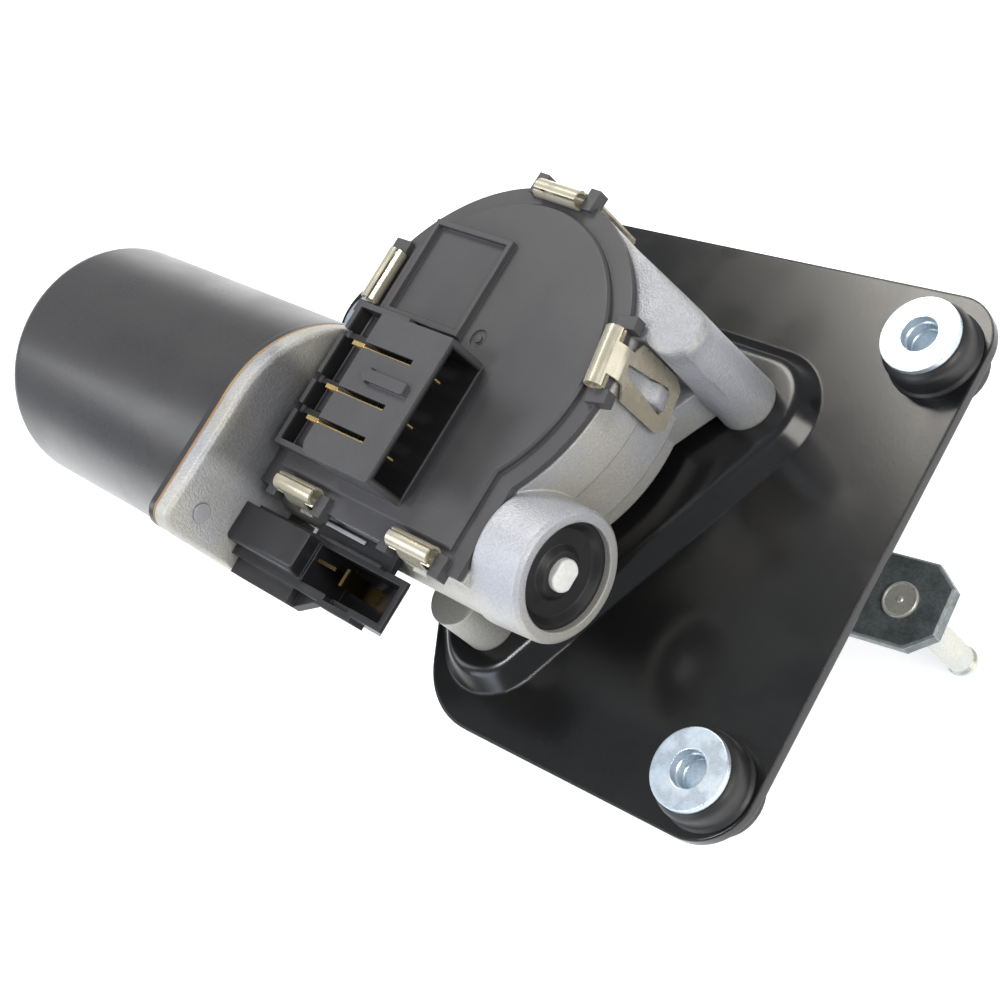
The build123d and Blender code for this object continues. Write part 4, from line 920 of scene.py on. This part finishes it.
def turned(profile, centre):
    """A turned shape about an upright axis, from its profile in millimetres."""
    shape = bmesh.new()
    circles = []
    for radius, height in profile:
        count = TURNING_STEPS if radius > 0 else 1
        circle = []
        for k in range(count):
            angle = 2 * math.pi * k / count
            x = centre.x + radius * MM * math.cos(angle)
            y = centre.y + radius * MM * math.sin(angle)
            circle.append(shape.verts.new((x, y, height * MM)))
        circles.append(circle)
    for upper, lower in zip(circles, circles[1:]):
        for k in range(TURNING_STEPS):
            near = (k + 1) % TURNING_STEPS
            corners = (
                upper[k % len(upper)],
                lower[k % len(lower)],
                lower[near % len(lower)],
                upper[near % len(upper)],
            )
            shape.faces.new(dict.fromkeys(corners))
    mark_sharp(shape, CRISP_TURNED)
    return shape


pin_places = [mount["pos_m"] for mount in record["mounts"] if mount["name"] == "crank_pin"]
pin_axis = Vector((*pin_places[0][:2], 0.0))
pin = add_piece(
    turned(PIN_PROFILE, pin_axis),
    "long_crank_pin",
    "pin_zinc",
    nodes["crank_pin"]["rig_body"],
)
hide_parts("crank_pin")

# ---------------------------------------------------------------- brass strips of the socket

# One row for each strip, across the socket. Along it a strip has a tab with a foot at the pocket,
# a thin tongue through the socket and a lower end in the mouth. All in millimetres.
TERMINAL_ROWS = (-10.9, -21.9, -29.8)
SLOT_HALF = 0.65
TAB_THICK = 0.95
TONGUE_THICK = 0.42
TAB_START = -19.5
FOOT_END = -16.5
TAB_END = -15.6
TONGUE_END = 0.8
STRIP_END = 5.8
FOOT_BASE = 51.5
SOCKET_TOP = 62.9
STRIP_BASE = SOCKET_TOP - 5.8
TAB_TOP = SOCKET_TOP - 0.9
TONGUE_TOP = SOCKET_TOP - 1.1
END_TOP = SOCKET_TOP - 3.4

shape = bmesh.new()
for row in TERMINAL_ROWS:
    low = row - SLOT_HALF
    block(shape, (TAB_START, low, STRIP_BASE), (TAB_END, low + TAB_THICK, TAB_TOP))
    block(shape, (TAB_START, low, FOOT_BASE), (FOOT_END, low + TAB_THICK, STRIP_BASE))
    block(shape, (TAB_END, low, STRIP_BASE), (TONGUE_END, low + TONGUE_THICK, TONGUE_TOP))
    block(shape, (TONGUE_END, low, STRIP_BASE), (STRIP_END, low + TONGUE_THICK, END_TOP))
mark_sharp(shape, CRISP)
strips = add_piece(shape, "socket_strips", "brass", nodes["socket_terminals"]["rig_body"])
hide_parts("socket_terminals")

# ---------------------------------------------------------------- web and strip beside the case

# A shelf between connector and case with an upright edge, by two corners each
WEB_BLOCKS = (
    ((-17.0, -50.4, 42.6), (9.0, -45.8, 44.4)),
    ((-12.0, -50.4, 44.4), (9.0, -49.6, 47.6)),
)
# The strip's upper face along the case and in height, its place, thickness and half width
STRIP_LINE = ((-13.9, 46.2), (-12.6, 46.4), (-8.0, 45.4), (-4.0, 45.2), (-1.5, 44.8))
STRIP_Y = -46.9
STRIP_METAL = 0.4
STRIP_HALF = 0.45

feed_body = nodes["feed_connector"]["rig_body"]
shape = bmesh.new()
for low, high in WEB_BLOCKS:
    block(shape, low, high)
mark_sharp(shape, CRISP)
add_piece(shape, "connector_web", "connector_plastic", feed_body)
shape = bmesh.new()
along_case = Matrix.Translation((0.0, STRIP_Y * MM, 0.0)) @ Matrix.Rotation(-math.pi / 2, 4, "Z")
bent_strip(shape, STRIP_LINE, STRIP_METAL, STRIP_HALF, along_case)
mark_sharp(shape, CRISP)
add_piece(shape, "earth_strip", "screw_steel", feed_body)

# ---------------------------------------------------------------- floor

FLOOR_HALF = 6.0
FLOOR_GAP = 0.5
PAPER_COLOUR = (0.8, 0.8, 0.8, 1.0)
PAPER_ROUGHNESS = 0.9
PAPER_GLOW = (1.0, 1.0, 1.0, 1.0)
GLOW_STRENGTH = 0.55

floor_mesh = bpy.data.meshes.new("floor")
shape = bmesh.new()
bmesh.ops.create_grid(shape, x_segments=1, y_segments=1, size=FLOOR_HALF)
bmesh.ops.translate(shape, verts=shape.verts, vec=(0.0, 0.0, (PIN_TIP - FLOOR_GAP) * MM))
shape.to_mesh(floor_mesh)
shape.free()
floor = bpy.data.objects.new("floor", floor_mesh)
scene.collection.objects.link(floor)
paper, tree, shader = graph("white_paper")
shader.inputs["Base Color"].default_value = PAPER_COLOUR
shader.inputs["Roughness"].default_value = PAPER_ROUGHNESS
shader.inputs["Emission Color"].default_value = PAPER_GLOW
shader.inputs["Emission Strength"].default_value = GLOW_STRENGTH
floor_mesh.materials.append(paper)
floor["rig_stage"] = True

low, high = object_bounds()
